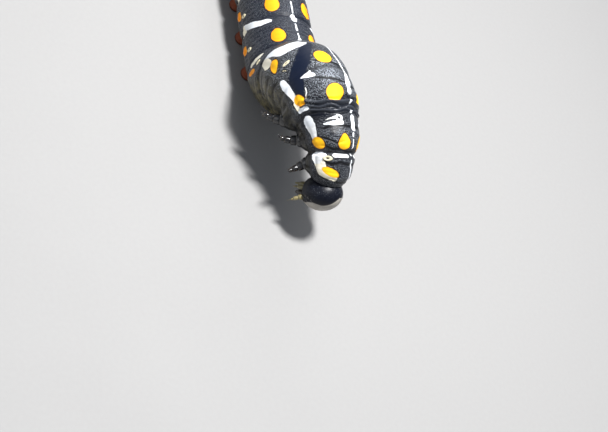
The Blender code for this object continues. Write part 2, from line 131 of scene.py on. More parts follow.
# The plate on the back of the tail: the segment, its front edge, its breadth, the groove round it, and
# the place in front of which no groove lies
TAIL_PLATE = ("anal_segment", 0.95, 62, 0.26, 0.3)
PLATE_END = ("abdomen_9", 0.6)

# Soft mounds on the skin: segment, place, angle, radius and height
MOUNDS = [("thorax_2", 0.58, 58, 1.35, 0.3), ("thorax_2", 0.72, 28, 1.2, 0.12),
          ("thorax_3", 0.66, 34, 2.0, 0.12)]

# The skin's mesh: the size of its faces, and the breadth over which roots blend into the body
VOXEL, BLEND = 0.236, 0.9
# Its faces are halved in front of a place and up to an angle from the back, and again this near to a
# ringed dot
FINE_START, FINE_ANGLE, DOT_MARGIN = ("thorax_3", 0.5), 112, 0.35
# How often its points are moved onto the skin's form: at first, and after each halving
SETTLINGS = (4, 4, 3)
# The share of the distance to the form that a move goes, and the longest distance that counts
SETTLE_SHARE, SETTLE_MOST = 0.85, 0.5
# In front of a place and up to an angle from the back they move along rays. That sets in over RAY_RUN
# millimetres and RAY_TURN degrees, and ends over NECK_RUN millimetres at the neck
RAY_START, RAY_ANGLE = ("thorax_3", 0.2), 124
RAY_RUN, RAY_TURN, NECK_RUN = 1.5, 12, 0.5
# How often, and by what share, a point of the tucks is drawn to the middle of its neighbours
SOFTENINGS, SOFTENING = 3, 0.45
# How many points are compared with the centreline at once
CHUNK = 20000

# Prolegs and claspers: place along the segment, angle round from the back, the sole's distance from
# the middle, and the radius from the root down to the sole. Their colour lies within FOOT_MARGIN of their
# form, and no marks lie below FOOT_CLEAR, a share of the way down
PROLEG_SEGMENTS = ["abdomen_3", "abdomen_4", "abdomen_5", "abdomen_6"]
FOOT_ROOT_DEPTH = 2.2
FOOT_MARGIN, FOOT_CLEAR = 0.35, 0.35
FOOT_FLATNESS = 0.86
FOOT_EASE = 1.4
FOOT_RINGS, FOOT_RING_DEPTH, FOOT_RING_END = 5, 0.07, (0.85, 0.65)
PROLEG_PLACE, PROLEG_ANGLE, PROLEG_SPREAD = 0.5, 144, 3.4
PROLEG_PROFILE = [(0.0, 2.45), (0.3, 2.2), (0.55, 1.75), (0.76, 1.42), (0.9, 1.5), (0.97, 1.4), (1.0, 1.15)]
CLASPER_PLACE, CLASPER_ANGLE, CLASPER_SPREAD = 0.6, 126, 2.5
CLASPER_PROFILE = [(0.0, 2.0), (0.3, 2.2), (0.5, 2.15), (0.7, 1.8), (0.84, 1.45), (0.93, 1.5), (1.0, 1.2)]

# The head: its centre lies on the neck's line, its mouth points down the face
HEAD_REACH = 2.5
HEAD_BEND = 12
HEAD_HEIGHT, HEAD_WIDTH, HEAD_DEPTH = 3.5, 3.2, 2.9
MOUTH_FORWARD = 28
MOUTH_LEVEL = 2.8
GROOVE_DEPTH, GROOVE_WIDTH = 0.14, 7
EDGE_DEPTH, EDGE_WIDTH, INNER_DEPTH, INNER_WIDTH = 0.05, 0.1, 0.08, 0.14
CHEEK_SWELL = 0.04
STEMMATA = [(94, 74), (103, 82), (113, 84), (122, 76), (110, 68), (124, 60)]
STEMMA_RADIUS = 0.22

# The pale front of the head: a triangle from an apex near the vertex to its base over the mouth
FRONS_APEX, FRONS_BASE = 8, 132
FRONS_SHAPE = [(8, 48), (21, 52), (41, 50), (54, 51), (68, 55), (79, 62), (91, 67), (107, 64),
               (120, 55), (132, 45)]
INNER_SHAPE = [(44, 1), (52, 7), (72, 17), (100, 27), (132, 34)]
SEAM_FADE = 9

# Where the dotted top of the head sets in and is full: round from the face, and down from the vertex
TOP_SIDES, TOP_LOW = (70, 110), (125, 85)

# Mouthparts and feelers, as in the solids
LABRUM = {"forward": 1.3, "wide": 1.15, "thick": 0.3, "long": 0.95}
MANDIBLE = {"forward": 0.24, "left": 0.82, "wide": 0.62, "thick": 0.46, "long": 1.35, "lean": 0.26}
LABIUM = {"forward": -1.0, "wide": 0.95, "thick": 0.48, "long": 1.05}
MAXILLA = {"forward": -0.72, "left": 1.28, "wide": 0.4, "thick": 0.38, "long": 0.95, "lean": 0.0}
SPINNERET = {"long": 0.75, "root": 0.32, "tip": 0.12}
ANTENNA_POLAR, ANTENNA_AZIMUTH = 134, 72
ANTENNA_HEADING = {"mouth": 0.85, "side": 0.4, "face": 0.3}
ANTENNA_ARTICLES = [(0.6, 0.44), (0.8, 0.34), (0.45, 0.16)]

# True legs on each thorax segment: where they root, their size against the longest, and how far
# they lean towards the head
LEGS = {"thorax_1": (0.5, 0.84, 34), "thorax_2": (0.45, 0.94, -8), "thorax_3": (0.45, 1.0, -34)}
LEG_ANGLE, LEG_SPLAY = 150, 6
LEG_ROOT_DEPTH = 1.4
LEG_ARTICLES = [(1.15, 1.2, 0), (1.15, 0.86, 14), (1.1, 0.62, 20), (0.75, 0.44, 16)]
LEG_PROFILE = [(0.0, 0.88), (0.05, 0.97), (0.12, 1.02), (0.3, 1.03), (0.5, 1.0), (0.7, 0.96), (0.85, 0.92),
               (0.92, 0.88), (0.97, 0.8)]
CLAW_LENGTH, CLAW_ROOT, CLAW_TIP, CLAW_HOOK = 0.75, 0.3, 0.07, 38

# The horn on the eighth abdomen segment, the shares of its length where its black tip sets in and is full,
# and the grains on it
HORN_PLACE = 0.55
HORN_LENGTH, HORN_ROOT, HORN_TIP = 8.6, 0.95, 0.25
HORN_ROOT_DEPTH = 0.9
HORN_LEAN, HORN_CURL = 38, 26
HORN_BLACK = (0.62, 0.78)
GRAIN_SIZE, GRAIN_HEIGHT = 0.28, 0.07

# Mounds that carry the true legs and the horn: how deep their centres lie, and their radii
LEG_MOUND, HORN_MOUND = (0.9, 1.95), (1.1, 1.75)

# Breathing openings on the flanks: place, angle, half-height and half-width, and the size and rise of
# each ring from the skin to the slit
SPIRACLES = {name: (0.62, 87, 0.56, 0.3) for name in ABDOMEN}
SPIRACLES["abdomen_1"] = (0.69, 83.5, 0.74, 0.25)
SPIRACLES["thorax_1"] = (0.18, 67, 0.78, 0.42)
SPIRACLE_PROFILE = [(1.0, -0.35), (1.0, 0.02), (0.97, 0.09), (0.85, 0.13), (0.64, 0.12), (0.42, 0.08),
                    (0.26, 0.03), (0.1, 0.02)]

# Yellow to orange spots, by segment: place along it, angle, half-length and half-width in millimetres,
# how far they taper towards the back end, how far they tilt, and how orange they are
SPOTS = {
    "thorax_3": [(0.69, 33, 1.45, 1.5, 0.0, 0, 0.0), (0.55, 93.5, 1.2, 0.78, 0.0, -40, 0.4)],
    "thorax_2": [(0.75, 28, 1.25, 0.98, 0.45, 0, 0.3), (0.76, 86, 1.15, 0.88, 0.0, -60, 0.35)],
    "thorax_1": [(0.58, 58, 0.66, 1.5, 0.0, 16, -0.1)],
    "abdomen_1": [(0.82, 35, 1.4, 1.5, 0.0, 0, 0.05), (0.52, 96, 1.45, 0.82, -0.3, 35, 0.35)],
}
ABDOMEN_SPOTS = [(0.68, 32, 1.6, 1.25, 0.1, 0, 0.75), (0.46, 103, 0.95, 0.75, 0.0, 0, 1.0)]
SPOT_SHADING = 0.3

# White strokes, by segment: place, angle and half-width of both ends, and how creamy they are
STROKES = {
    "abdomen_2": [(0.34, 70, 0.3, 0.3, 77, 0.55, 0.5), (0.3, 77, 0.6, 0.2, 92, 0.5, 0.6)],
    "abdomen_1": [
        (0.45, 46, 0.75, 0.42, 53, 1.4, 0.0), (0.42, 53, 1.4, 0.4, 62, 1.65, 0.0),
        (0.4, 62, 1.65, 0.38, 70, 1.75, 0.0), (0.38, 70, 1.7, 0.2, 79, 1.05, 0.0),
        (0.2, 79, 1.05, 0.1, 87, 0.65, 0.0), (0.12, 94, 0.8, 0.32, 98, 0.95, 0.6),
        (0.74, 94, 0.06, 0.78, 91, 0.09, 0.9),
    ],
    "thorax_3": [
        (0.08, 81, 0.05, 0.1, 69, 0.52, 0.0), (0.1, 69, 0.52, 0.16, 60, 0.24, 0.0),
        (0.1, 69, 0.5, 0.03, 65, 0.2, 0.0), (-0.16, 106, 0.55, -0.02, 108, 0.72, 0.0),
        (-0.02, 108, 0.72, 0.22, 104, 0.52, 0.0), (0.22, 104, 0.48, 0.5, 99, 0.4, 0.35),
        (0.56, 101, 0.4, 0.72, 100, 0.3, 0.7), (0.78, 99, 0.34, 0.84, 84, 0.28, 0.0),
        (0.35, 78, 0.06, 0.48, 77, 0.12, 0.2), (0.48, 77, 0.12, 0.6, 82, 0.06, 0.2),
    ],
    "thorax_2": [
        (0.12, 92, 0.85, 0.26, 92, 0.9, 0.0), (0.26, 92, 0.88, 0.62, 92, 0.5, 0.1),
        (0.33, 65, 0.1, 0.35, 47, 0.34, 0.0), (0.35, 47, 0.34, 0.35, 30, 0.34, 0.0),
        (0.25, 60, 0.03, 0.235, 48, 0.1, 0.2), (0.235, 48, 0.1, 0.23, 41, 0.22, 0.1),
    ],
    "thorax_1": [
        (0.12, 101, 0.55, 0.12, 84, 0.6, 0.0), (0.12, 84, 0.45, 0.1, 74, 0.3, 0.0),
        (0.22, 96, 0.8, 0.38, 88, 0.9, 0.1), (0.4, 87, 0.95, 0.6, 80, 0.85, 0.6),
        (0.7, 74, 0.5, 0.76, 44, 0.4, 0.7), (0.08, 51, 0.3, 0.07, 15, 0.26, 0.1),
    ],
}
ABDOMEN_STROKES = [
    (0.16, 40, 0.35, 0.12, 54, 0.7, 0.0), (0.12, 54, 0.72, 0.02, 76, 0.62, 0.0),
    (0.02, 76, 0.6, -0.08, 90, 0.42, 0.1), (-0.08, 93, 0.5, 0.02, 101, 0.6, 0.6),
]

# White rings round a dark dot: segment, place, angle, radius to the ring's middle, half its breadth
RINGED_DOTS = [("thorax_2", 0.245, 34, 0.4, 0.17)]

# The broken white line along the back, by segment: place, angle and half-width at start and end
BACK_LINE = {
    "abdomen_1": [
        (0.06, 6, 0.3, 0.2, 9, 0.14), (0.3, 10, 0.14, 0.7, 12, 0.16), (0.74, 12, 0.2, 0.96, 6, 0.24),
    ],
    "thorax_3": [(0.02, 3, 0.3, 0.3, 3, 0.62), (0.3, 3, 0.62, 0.66, 4, 0.5), (0.86, 2, 0.22, 0.9, 2, 0.22)],
    "thorax_2": [
        (0.1, 3, 0.26, 0.12, 3, 0.26), (0.24, 3, 0.4, 0.46, 1, 0.48), (0.58, 4, 0.22, 0.62, 4, 0.2),
        (0.7, 4, 0.13, 0.88, 3, 0.13),
    ],
    "thorax_1": [
        (0.02, 1, 0.16, 0.03, 1, 0.16), (0.2, 1, 0.15, 0.5, -4, 0.16), (0.55, -5, 0.15, 0.82, -9, 0.18),
    ],
}
ABDOMEN_BACK_LINE = [(0.06, 0, 0.62, 0.16, 0, 0.5), (0.3, 0, 0.14, 0.5, 0, 0.2),
                     (0.62, 0, 0.14, 0.94, 0, 0.1)]

# Painted shade on the fore body's flank: a smooth blue-black band without granules, by segment: place, and
# the angles that it lies between, where its edges blur over SHADE_BAND_EDGE degrees. Behind REAR_SHADE_START
# the skin takes a share of its colour, which paints shade on the rear body
SHADE_BAND_EDGE = 3
REAR_SHADE_START, REAR_SHADE_RUN, REAR_SHADE_SHARE = ("abdomen_1", 0.1), 2, 0.45
SHADE_BAND = {
    "abdomen_1": [(0.36, 42, 43), (0.52, 35, 52), (0.72, 47, 71), (0.9, 57, 93)],
    "thorax_3": [(0.06, 77, 106), (0.3, 78, 103), (0.56, 84, 96), (0.66, 88, 90)],
}

# How thickly the granules lie, by segment: place, and the thickness at each of GRANULE_ANGLES. They are
# partly
# painted light: thickest, and so palest, on the lit top of the fore body. The material measures round the
# body at MEAN_RADIUS
MEAN_RADIUS = 5.8
GRANULE_ANGLES = (10, 40, 65, 90)
GRANULES_AND_LIGHT = {
    "anal_segment": [(0.1, (0.0, 0.0, 0.0, 0.0)), (0.4, (0.2, 0.2, 0.2, 0.2))],
    "abdomen_2": [(0.0, (0.16, 0.16, 0.16, 0.16))],
    "abdomen_1": [
        (0.1, (0.3, 0.3, 0.35, 0.25)), (0.5, (0.4, 0.2, 0.5, 0.4)), (0.7, (0.4, 0.2, 0.55, 0.45)),
        (0.9, (0.65, 1.0, 0.5, 0.4)),
    ],
    "thorax_3": [
        (0.1, (0.65, 1.0, 0.6, 0.15)), (0.3, (0.5, 0.95, 0.5, 0.15)), (0.5, (0.45, 0.8, 0.4, 0.25)),
        (0.7, (0.35, 0.5, 0.35, 0.4)), (0.86, (0.0, 0.0, 0.0, 0.2)),
    ],
    "thorax_2": [
        (0.08, (0.0, 0.0, 0.0, 0.0)), (0.2, (0.2, 0.15, 0.15, 0.1)), (0.5, (0.45, 0.6, 0.5, 0.15)),
        (0.8, (0.3, 0.5, 0.45, 0.15)),
    ],
    "thorax_1": [(0.2, (0.35, 0.35, 0.35, 0.2)), (1.0, (0.35, 0.35, 0.3, 0.2))],
}
# From BELLY_ANGLE on they thin out over BELLY_EASE degrees, to a share of BELLY_GRANULES
BELLY_ANGLE, BELLY_EASE, BELLY_GRANULES = 108, 22, 0.1

# Olive on the belly: where it sets in, then segment, place and how much. It is weaker on the thorax, which
# paints shade on the fore body's belly
OLIVE_ANGLE, OLIVE_EASE = 104, 22
OLIVE_AND_SHADE = [("abdomen_3", 0.5, 0.55), ("abdomen_2", 0.5, 1.0), ("abdomen_1", 0.6, 1.0), ("thorax_3", 0.2, 0.35),
         ("thorax_2", 0.5, 0.2)]

# A patch bare of granules, so darker than the skin round it: segment, place, angle and radius
BARE_PATCH = ("thorax_2", 0.56, 52, 0.55)

# The camera: the point that it looks at, its direction and roll, its distance and its lens
AIM = (35.33, 3.64, 0.12)
VIEW_AZIMUTH, VIEW_ELEVATION, VIEW_ROLL = -43.0, 45.76, 41.85
VIEW_DISTANCE = 228.03
LENS, SENSOR = 81.05, 36


# Directions, centreline and sizes

def turn(axis, degrees):
    """The matrix that turns a vector about an axis."""
    x, y, z = axis / np.linalg.norm(axis)
    angle = math.radians(degrees)
    cross = np.array([[0, -z, y], [z, 0, -x], [-y, x, 0]])
    return np.eye(3) + math.sin(angle) * cross + (1 - math.cos(angle)) * cross @ cross


def unit(vector):
    return vector / np.linalg.norm(vector)


def ramp(value, start, end):
    """From 0 at the start to 1 at the end, in a straight line, and level beyond them."""
    return np.clip((value - start) / (end - start), 0, 1)


def rows_of(table):
    """The rows of a table by segment, each with its segment's name."""
    return [(name, *row) for name, rows in table.items() for row in rows]


def lay_centreline():
    """Walk from the tail's tip to the neck, and return the stations with their frames."""
    climb = turn(np.array([0.0, 1.0, 0.0]), -TAIL_CLIMB)
    place = np.array(TAIL_TIP)
    axes = climb @ np.eye(3)
    along = 0.0
    stations = [along]
    frames = [(place, axes)]
    for length, _, down, left, roll in SEGMENTS.values():
        steps = round(length / STEP)
        for _ in range(steps):
            forward, side, back = axes.T
            share = 1 / steps
            bend = turn(side, down * share) @ turn(back, left * share) @ turn(forward, roll * share)
            new_axes = bend @ axes
            place = place + (axes[:, 0] + new_axes[:, 0]) * length * share / 2
            axes = new_axes
            along += length * share
            stations.append(along)
            frames.append((place, axes))
    return stations, frames


STATIONS, FRAMES = lay_centreline()
BODY_LENGTH = STATIONS[-1]
STATION_ALONG = np.array(STATIONS)
STATION_PLACE = np.array([place for place, _ in FRAMES])
STATION_AXES = np.array([axes for _, axes in FRAMES])
STATION_BEND = np.gradient(STATION_AXES[:, :, 0], STATION_ALONG, axis=0)


def span_of(name):
    """Where a segment starts and ends along the centreline."""
    start = sum(SEGMENTS[other][0] for other in NAMES[:NAMES.index(name)])
    return start, start + SEGMENTS[name][0]


def place_on(name, share):
    """The distance along the centreline of a place on a segment."""
    start, end = span_of(name)
    return start + (end - start) * share


def frame_at(along):
    """The centre and the axes (forward, left, back) at a place along the centreline."""
    if along >= BODY_LENGTH:
        place, axes = FRAMES[-1]
        return place + axes[:, 0] * (along - BODY_LENGTH), axes
    index = max(bisect.bisect_right(STATIONS, along) - 1, 0)
    share = (along - STATIONS[index]) / (STATIONS[index + 1] - STATIONS[index])
    place = FRAMES[index][0] * (1 - share) + FRAMES[index + 1][0] * share
    axes = FRAMES[index][1] * (1 - share) + FRAMES[index + 1][1] * share
    return place, axes / np.linalg.norm(axes, axis=0)


def smooth_radius(along):
    """The radius without creases, eased from the middle of one segment to the next."""
    middles = [sum(span_of(name)) / 2 for name in NAMES]
    radii = [SEGMENTS[name][1] for name in NAMES]
    if along <= middles[0]:
        return radii[0]
    if along >= middles[-1]:
        share = (along - middles[-1]) / (BODY_LENGTH - middles[-1])
        return radii[-1] + (NECK_RADIUS - radii[-1]) * share ** 2
    index = bisect.bisect_right(middles, along) - 1
    share = (along - middles[index]) / (middles[index + 1] - middles[index])
    ease = share * 0.5 + (3 - 2 * share) * share ** 2 * 0.5
    return radii[index] * (1 - ease) + radii[index + 1] * ease


STATION_RADIUS = np.array([smooth_radius(along) for along in STATIONS])


def out_of(axes, angles):
    """Directions out of the body, by the angles from the middle of the back towards the right side."""
    turned = np.radians(angles)[:, None]
    return np.cos(turned) * axes[..., 2] - np.sin(turned) * axes[..., 1]


def outward(along, angle):
    """The direction out of the body at one place along it."""
    return out_of(frame_at(along)[1], np.array([angle]))[0]


def skin_point(along, angle, extra=0.0):
    """A point on the skin, by its place along the body and its angle from the middle of the back."""
    radius = skin_radius(np.array([along]), np.array([float(angle)]))[0] + extra
    return frame_at(along)[0] + radius * outward(along, angle)


# Smooth noise from a seeded lattice

LATTICE = np.random.default_rng(7).random((32, 32, 32))


def noise(points, size):
    """Smooth noise from -1 to 1 at points, whose lumps have about the given size."""
    scaled = np.asarray(points) / size
    cell = np.floor(scaled).astype(int)
    part = scaled - cell
    ease = part * part * (3 - 2 * part)
    total = np.zeros(len(scaled))
    for corner in range(8):
        step = np.array([corner & 1, corner >> 1 & 1, corner >> 2 & 1])
        weight = np.where(step == 1, ease, 1 - ease).prod(axis=1)
        x, y, z = ((cell + step) % 32).T
        total += weight * LATTICE[x, y, z]
    return 2 * total - 1


def body_noise(along, angle, size_along, size_round, offset=0.0):
    """Noise on the skin with its own lump size along and round the body."""
    turned = np.radians(angle)
    round_radius = LUMP_RADIUS / size_round
    points = np.column_stack([along / size_along + offset, round_radius * np.cos(turned) + offset,
                              round_radius * np.sin(turned)])
    return noise(points, 1.0)


# The skin as a distance from its surface

def body_coordinates(points):
    """How far along the body points lie, their angle from the back, and their distance from the middle."""
    squares = (STATION_PLACE ** 2).sum(axis=1)
    nearest = np.empty(len(points), dtype=int)
    for first in range(0, len(points), CHUNK):
        some = points[first:first + CHUNK]
        nearest[first:first + CHUNK] = (squares - 2 * some @ STATION_PLACE.T).argmin(axis=1)
    offset = points - STATION_PLACE[nearest]
    local = np.einsum("nk,nkj->nj", offset, STATION_AXES[nearest])
    along = STATION_ALONG[nearest] + local[:, 0]
    angle = np.degrees(np.arctan2(-local[:, 1], local[:, 2]))
    return along, angle, np.hypot(local[:, 1], local[:, 2])


def stretch_at(along, angle):
    """How much longer or shorter the skin is than the centreline, on the outside or inside of a bend."""
    index = np.clip(np.searchsorted(STATION_ALONG, along), 0, len(STATIONS) - 1)
    out = out_of(STATION_AXES[index], angle)
    return 1 - STATION_RADIUS[index] * (STATION_BEND[index] * out).sum(axis=1)


def hill(offset, width):
    return np.exp(-(offset / width) ** 2)


def valley(offset, width):
    """A groove with a sharp bottom and rounded shoulders."""
    return np.exp(-np.sqrt((offset / width) ** 2 + 0.02)) * 1.15


def skin_radius(along, angle):
    """The skin's distance from the centreline, with its creases, rings, folds and wrinkles."""
    radius = np.interp(along, STATION_ALONG, STATION_RADIUS)
    around = np.abs(angle)
    belly = np.maximum(-np.cos(np.radians(angle)), 0) ** 2
    radius = radius * (1 - BELLY_FLATNESS * belly)
    # Creases and rings are shallower on the inside of a bend, where the skin has less room
    room = np.clip((stretch_at(along, angle) - 0.2) / 0.5, 0.05, 1)
    wave = body_noise(along, angle, *WAVE_LUMPS)
    ripple = 0.28 * wave + 0.12 * body_noise(along, angle, *RIPPLE_LUMPS)
    strength = RING_DEPTH * room * (1 - 0.5 * belly) * (1 + 0.5 * body_noise(along, angle, *RING_LUMPS))
    fold = FLANK_FOLD_RISE * hill(around - FLANK_FOLD_ANGLE, FLANK_FOLD_WIDTH)
    fold = room * (fold - FLANK_GROOVE_DEPTH * hill(around - FLANK_GROOVE_ANGLE, FLANK_GROOVE_WIDTH))
    for name in NAMES[1:]:
        start, end = span_of(name)
        depth = CREASE_DEPTHS.get(name, CREASE_DEPTH)
        radius = radius - depth * room ** 0.5 * hill(along - start + MEANDER * wave, CREASE_WIDTH)
        share = (along - start) / (end - start)
        inside = (share > 0) & (share < 1)
        swell = np.sqrt(np.clip(np.sin(np.pi * np.clip(share, 0, 1)), 0, 1))
        rings = RING_COUNTS.get(name, ABDOMEN_RINGS)
        groove = ((1 + np.cos(2 * np.pi * (rings * share + ripple))) / 2) ** 3
        shallow = SHALLOW_RINGS.get(name, 1.0)
        radius = radius + inside * (SEGMENT_SWELL * swell * room - strength * shallow * groove + fold * swell)
    depth, bulge = tucks(along, around, wave)
    radius = radius - folds(along, angle, wave)[0] - TUCK_DEPTH * depth + TUCK_BULGE * bulge
    name, share, breadth, depth, width = TAIL_PLATE
    front = place_on(name, share)
    edge = (np.hypot(along / front, around / breadth) - 1) * front
    radius = radius - depth * valley(edge, width) * (along < place_on(*PLATE_END))
    for name, share, degrees, size, height in MOUNDS:
        away = np.hypot(along - place_on(name, share), (around - degrees) * np.pi / 180 * SEGMENTS[name][1])
        radius = radius + height * hill(away, size)
    radius = radius + WRINKLE_DEPTH * room * body_noise(along, angle, *WRINKLE_LUMPS)
    return radius + 0.5 * WRINKLE_DEPTH * room * body_noise(along, angle, *PORE_LUMPS)


def folds(along, angle, wave):
    """How deep the folds are, and how far into one points lie, from 0 to 1."""
    around = np.abs(angle)
    deep, inside = np.zeros(len(along)), np.zeros(len(along))
    for name, shares, depth, width, waviness, first, last in rows_of(FOLDS):
        start, end = span_of(name)
        middle = start + (end - start) * np.interp(around, FOLD_ANGLES, shares)
        bend = waviness * body_noise(along, angle, *FOLD_LUMPS, shares[0] * 40)
        reach = ramp(around, last, last - FOLD_EASE) * ramp(around, first, first + FOLD_EASE)
        part = reach * valley(along - middle + bend, width)
        deep = deep + depth * part * (0.75 + 0.25 * wave)
        inside = np.maximum(inside, part)
    return deep, inside


def tuck_place(along, around, wave):
    """Where points lie among the tucks: a whole number in each crease between them."""
    start, end = span_of("thorax_3")
    creases = []
    for number, shares in enumerate(TUCKS):
        own = TUCK_SWAYS[number] * body_noise(along, around, *TUCK_LUMPS, 17 + 5 * number)
        creases.append(start + (end - start) * np.interp(around, FOLD_ANGLES[:3], shares) + own)
    bent = along + TUCK_WAVE * wave
    place = (bent - creases[0]) / np.maximum(creases[1] - creases[0], TUCK_LEAST)
    for number in range(1, len(TUCKS)):
        step = (bent - creases[number]) / np.maximum(creases[number] - creases[number - 1], TUCK_LEAST)
        place = np.where(step > 0, number + step, place)
    return place


def tucks(along, around, wave):
    """How deep the creases between the tucks are, and how far the tucks bulge."""
    place = tuck_place(along, around, wave)
    last = len(TUCKS) - 1
    bulge = np.sqrt(np.sin(np.pi * np.clip(place, 0, last)) ** 2 + 0.02)
    mask = ramp(place, -0.5, 0) * ramp(place, last + 0.5, last)
    mask = mask * ramp(around, TUCK_LAST, TUCK_LAST - FOLD_EASE)
    return mask * (1 - bulge), mask * bulge


def smooth_least(one, other, blend):
    share = np.maximum(blend - np.abs(one - other), 0) / blend
    return np.minimum(one, other) - share ** 2 * blend / 4


def body_distance(points):
    """About how far points lie outside the body's own tube, rounded off at the tail and the collar."""
    along, angle, reach = body_coordinates(points)
    radius = skin_radius(along, angle)
    behind = np.maximum(TAIL_REACH - along, 0) / TAIL_REACH
    ahead = np.maximum(along - BODY_LENGTH, 0) / NECK_REACH
    over = behind + ahead
    steep = behind / TAIL_REACH + ahead / NECK_REACH
    size = np.hypot(over, reach / radius)
    slope = np.hypot(steep, reach / radius ** 2)
    return (size - 1) * size / np.maximum(slope, 1e-6)


def feet():
    """Each proleg and clasper: its name, root, sole, profile, and 1 on the right or -1 on the left."""
    found = []
    places = [(name, PROLEG_PLACE, PROLEG_ANGLE, PROLEG_SPREAD, PROLEG_PROFILE) for name in PROLEG_SEGMENTS]
    places.append(("anal_segment", CLASPER_PLACE, CLASPER_ANGLE, CLASPER_SPREAD, CLASPER_PROFILE))
    for name, share, angle, spread, profile in places:
        for word, flip in (("right", 1), ("left", -1)):
            along = place_on(name, share)
            place = frame_at(along)[0]
            radius = smooth_radius(along) - FOOT_ROOT_DEPTH
            root = place + radius * outward(along, angle * flip)
            sole = np.array([root[0], place[1] - spread * flip, 0.0])
            kind = "clasper" if name == "anal_segment" else f"proleg_{name[-1]}"
            found.append((f"{kind}_{word}", root, sole, profile, flip))
    return found


FEET = feet()


def foot_radius(share, profile):
    """A proleg's radius at a share of the way down, smooth and lightly ringed."""
    shares, radii = np.array(profile).T
    fine = np.linspace(0, 1, 81)
    table = np.interp(fine, shares, radii)
    ends = np.pad(table, 4, mode="edge")
    table = np.convolve(ends, np.ones(9) / 9, mode="valid")
    rings = np.cos(2 * np.pi * FOOT_RINGS * share) * ramp(share, *FOOT_RING_END)
    return np.interp(share, fine, table) - FOOT_RING_DEPTH * rings


def foot_share(points, foot):
    return 1 - points[:, 2] / foot[1][2]


def foot_distance(points, foot):
    """About how far points lie outside a proleg."""
    _, root, sole, profile, _ = foot
    share = np.clip(foot_share(points, foot), 0, 1)
    ease = (share ** FOOT_EASE)[:, None]
    centre = root[:2] * (1 - ease) + sole[:2] * ease
    offset = points[:, :2] - centre
    flat = np.hypot(offset[:, 0], offset[:, 1] / FOOT_FLATNESS)
    above = np.maximum(points[:, 2] - root[2], 0)
    return np.maximum(np.hypot(flat, above) - foot_radius(share, profile), -points[:, 2])


def leg_root(name, flip):
    place_share, size, _ = LEGS[name]
    along = place_on(name, place_share)
    return along, skin_point(along, LEG_ANGLE * flip), size


def swellings():
    """Soft mounds that carry the true legs and the horn: their centres and radii."""
    found = []
    for name in LEGS:
        for flip in (1, -1):
            along, root, size = leg_root(name, flip)
            found.append((root - outward(along, LEG_ANGLE * flip) * LEG_MOUND[0], LEG_MOUND[1] * size))
    along = place_on("abdomen_8", HORN_PLACE)
    found.append((skin_point(along, 0) - outward(along, 0) * HORN_MOUND[0], HORN_MOUND[1]))
    return found


SWELLINGS = swellings()


def skin_distance(points):
    """About how far points lie outside the whole skin."""
    distance = body_distance(points)
    for centre, radius in SWELLINGS:
        distance = smooth_least(distance, np.linalg.norm(points - centre, axis=1) - radius, BLEND)
    for foot in FEET:
        distance = smooth_least(distance, foot_distance(points, foot), BLEND)
    return distance


# Meshes

def closed_rings(loops, start, end):
    """The points and faces of a closed body through rings that each have as many points."""
    count = len(loops[0])
    points = np.concatenate([np.concatenate(loops), [start, end]])
    faces = []
    for ring in range(len(loops) - 1):
        for k in range(count):
            after = (k + 1) % count
            low, high = ring * count, (ring + 1) * count
            faces.append((low + k, high + k, high + after, low + after))
    last = (len(loops) - 1) * count
    for k in range(count):
        after = (k + 1) % count
        faces.append((k, after, len(points) - 2))
        faces.append((last + after, last + k, len(points) - 1))
    return points, faces


def joined(parts):
    """Several sets of points and faces as one."""
    points, faces, first = [], [], 0
    for some, corners in parts:
        points.append(np.asarray(some))
        faces += [tuple(corner + first for corner in face) for face in corners]
        first += len(some)
    return np.concatenate(points), faces


def new_mesh(name, points, faces, scale=MM):
    data = bpy.data.meshes.new(name)
    data.from_pydata((np.asarray(points) * scale).tolist(), [], faces)
    data.update()
    return data


def new_piece(name, data, finish, nodes=()):
    """Put a mesh into the scene as a piece of the larva, with its finish and the solids it stands for."""
    obj = bpy.data.objects.new(name, data)
    bpy.context.scene.collection.objects.link(obj)
    data.materials.append(finish)
    data.shade_smooth()
    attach(obj, BODY)
    if nodes:
        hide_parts(*nodes)
    return obj


def join_piece(name, parts, finish, nodes=()):
    """Make a piece from several sets of points and faces."""
    return new_piece(name, new_mesh(name, *joined(parts)), finish, nodes)


def set_values(data, name, values):
    """Store one number for each point of a mesh."""
    layer = data.attributes.new(name, "FLOAT", "POINT")
    layer.data.foreach_set("value", np.asarray(values, dtype=np.float32))


def swept(path, radii, across, sides):
    """A tube along a path of points, with one radius at each point, or one across and one deep."""
    loops = []
    count = len(path)
    angles = 2 * np.pi * np.arange(sides) / sides
    for index, (point, radius) in enumerate(zip(path, radii)):
        heading = unit(path[min(index + 1, count - 1)] - path[max(index - 1, 0)])
        side = unit(across - heading * np.dot(across, heading))
        other = np.cross(heading, side)
        wide, deep = radius if isinstance(radius, tuple) else (radius, radius)
        loops.append(point + np.outer(np.cos(angles) * wide, side) + np.outer(np.sin(angles) * deep, other))
    return closed_rings(loops, path[0], path[-1])


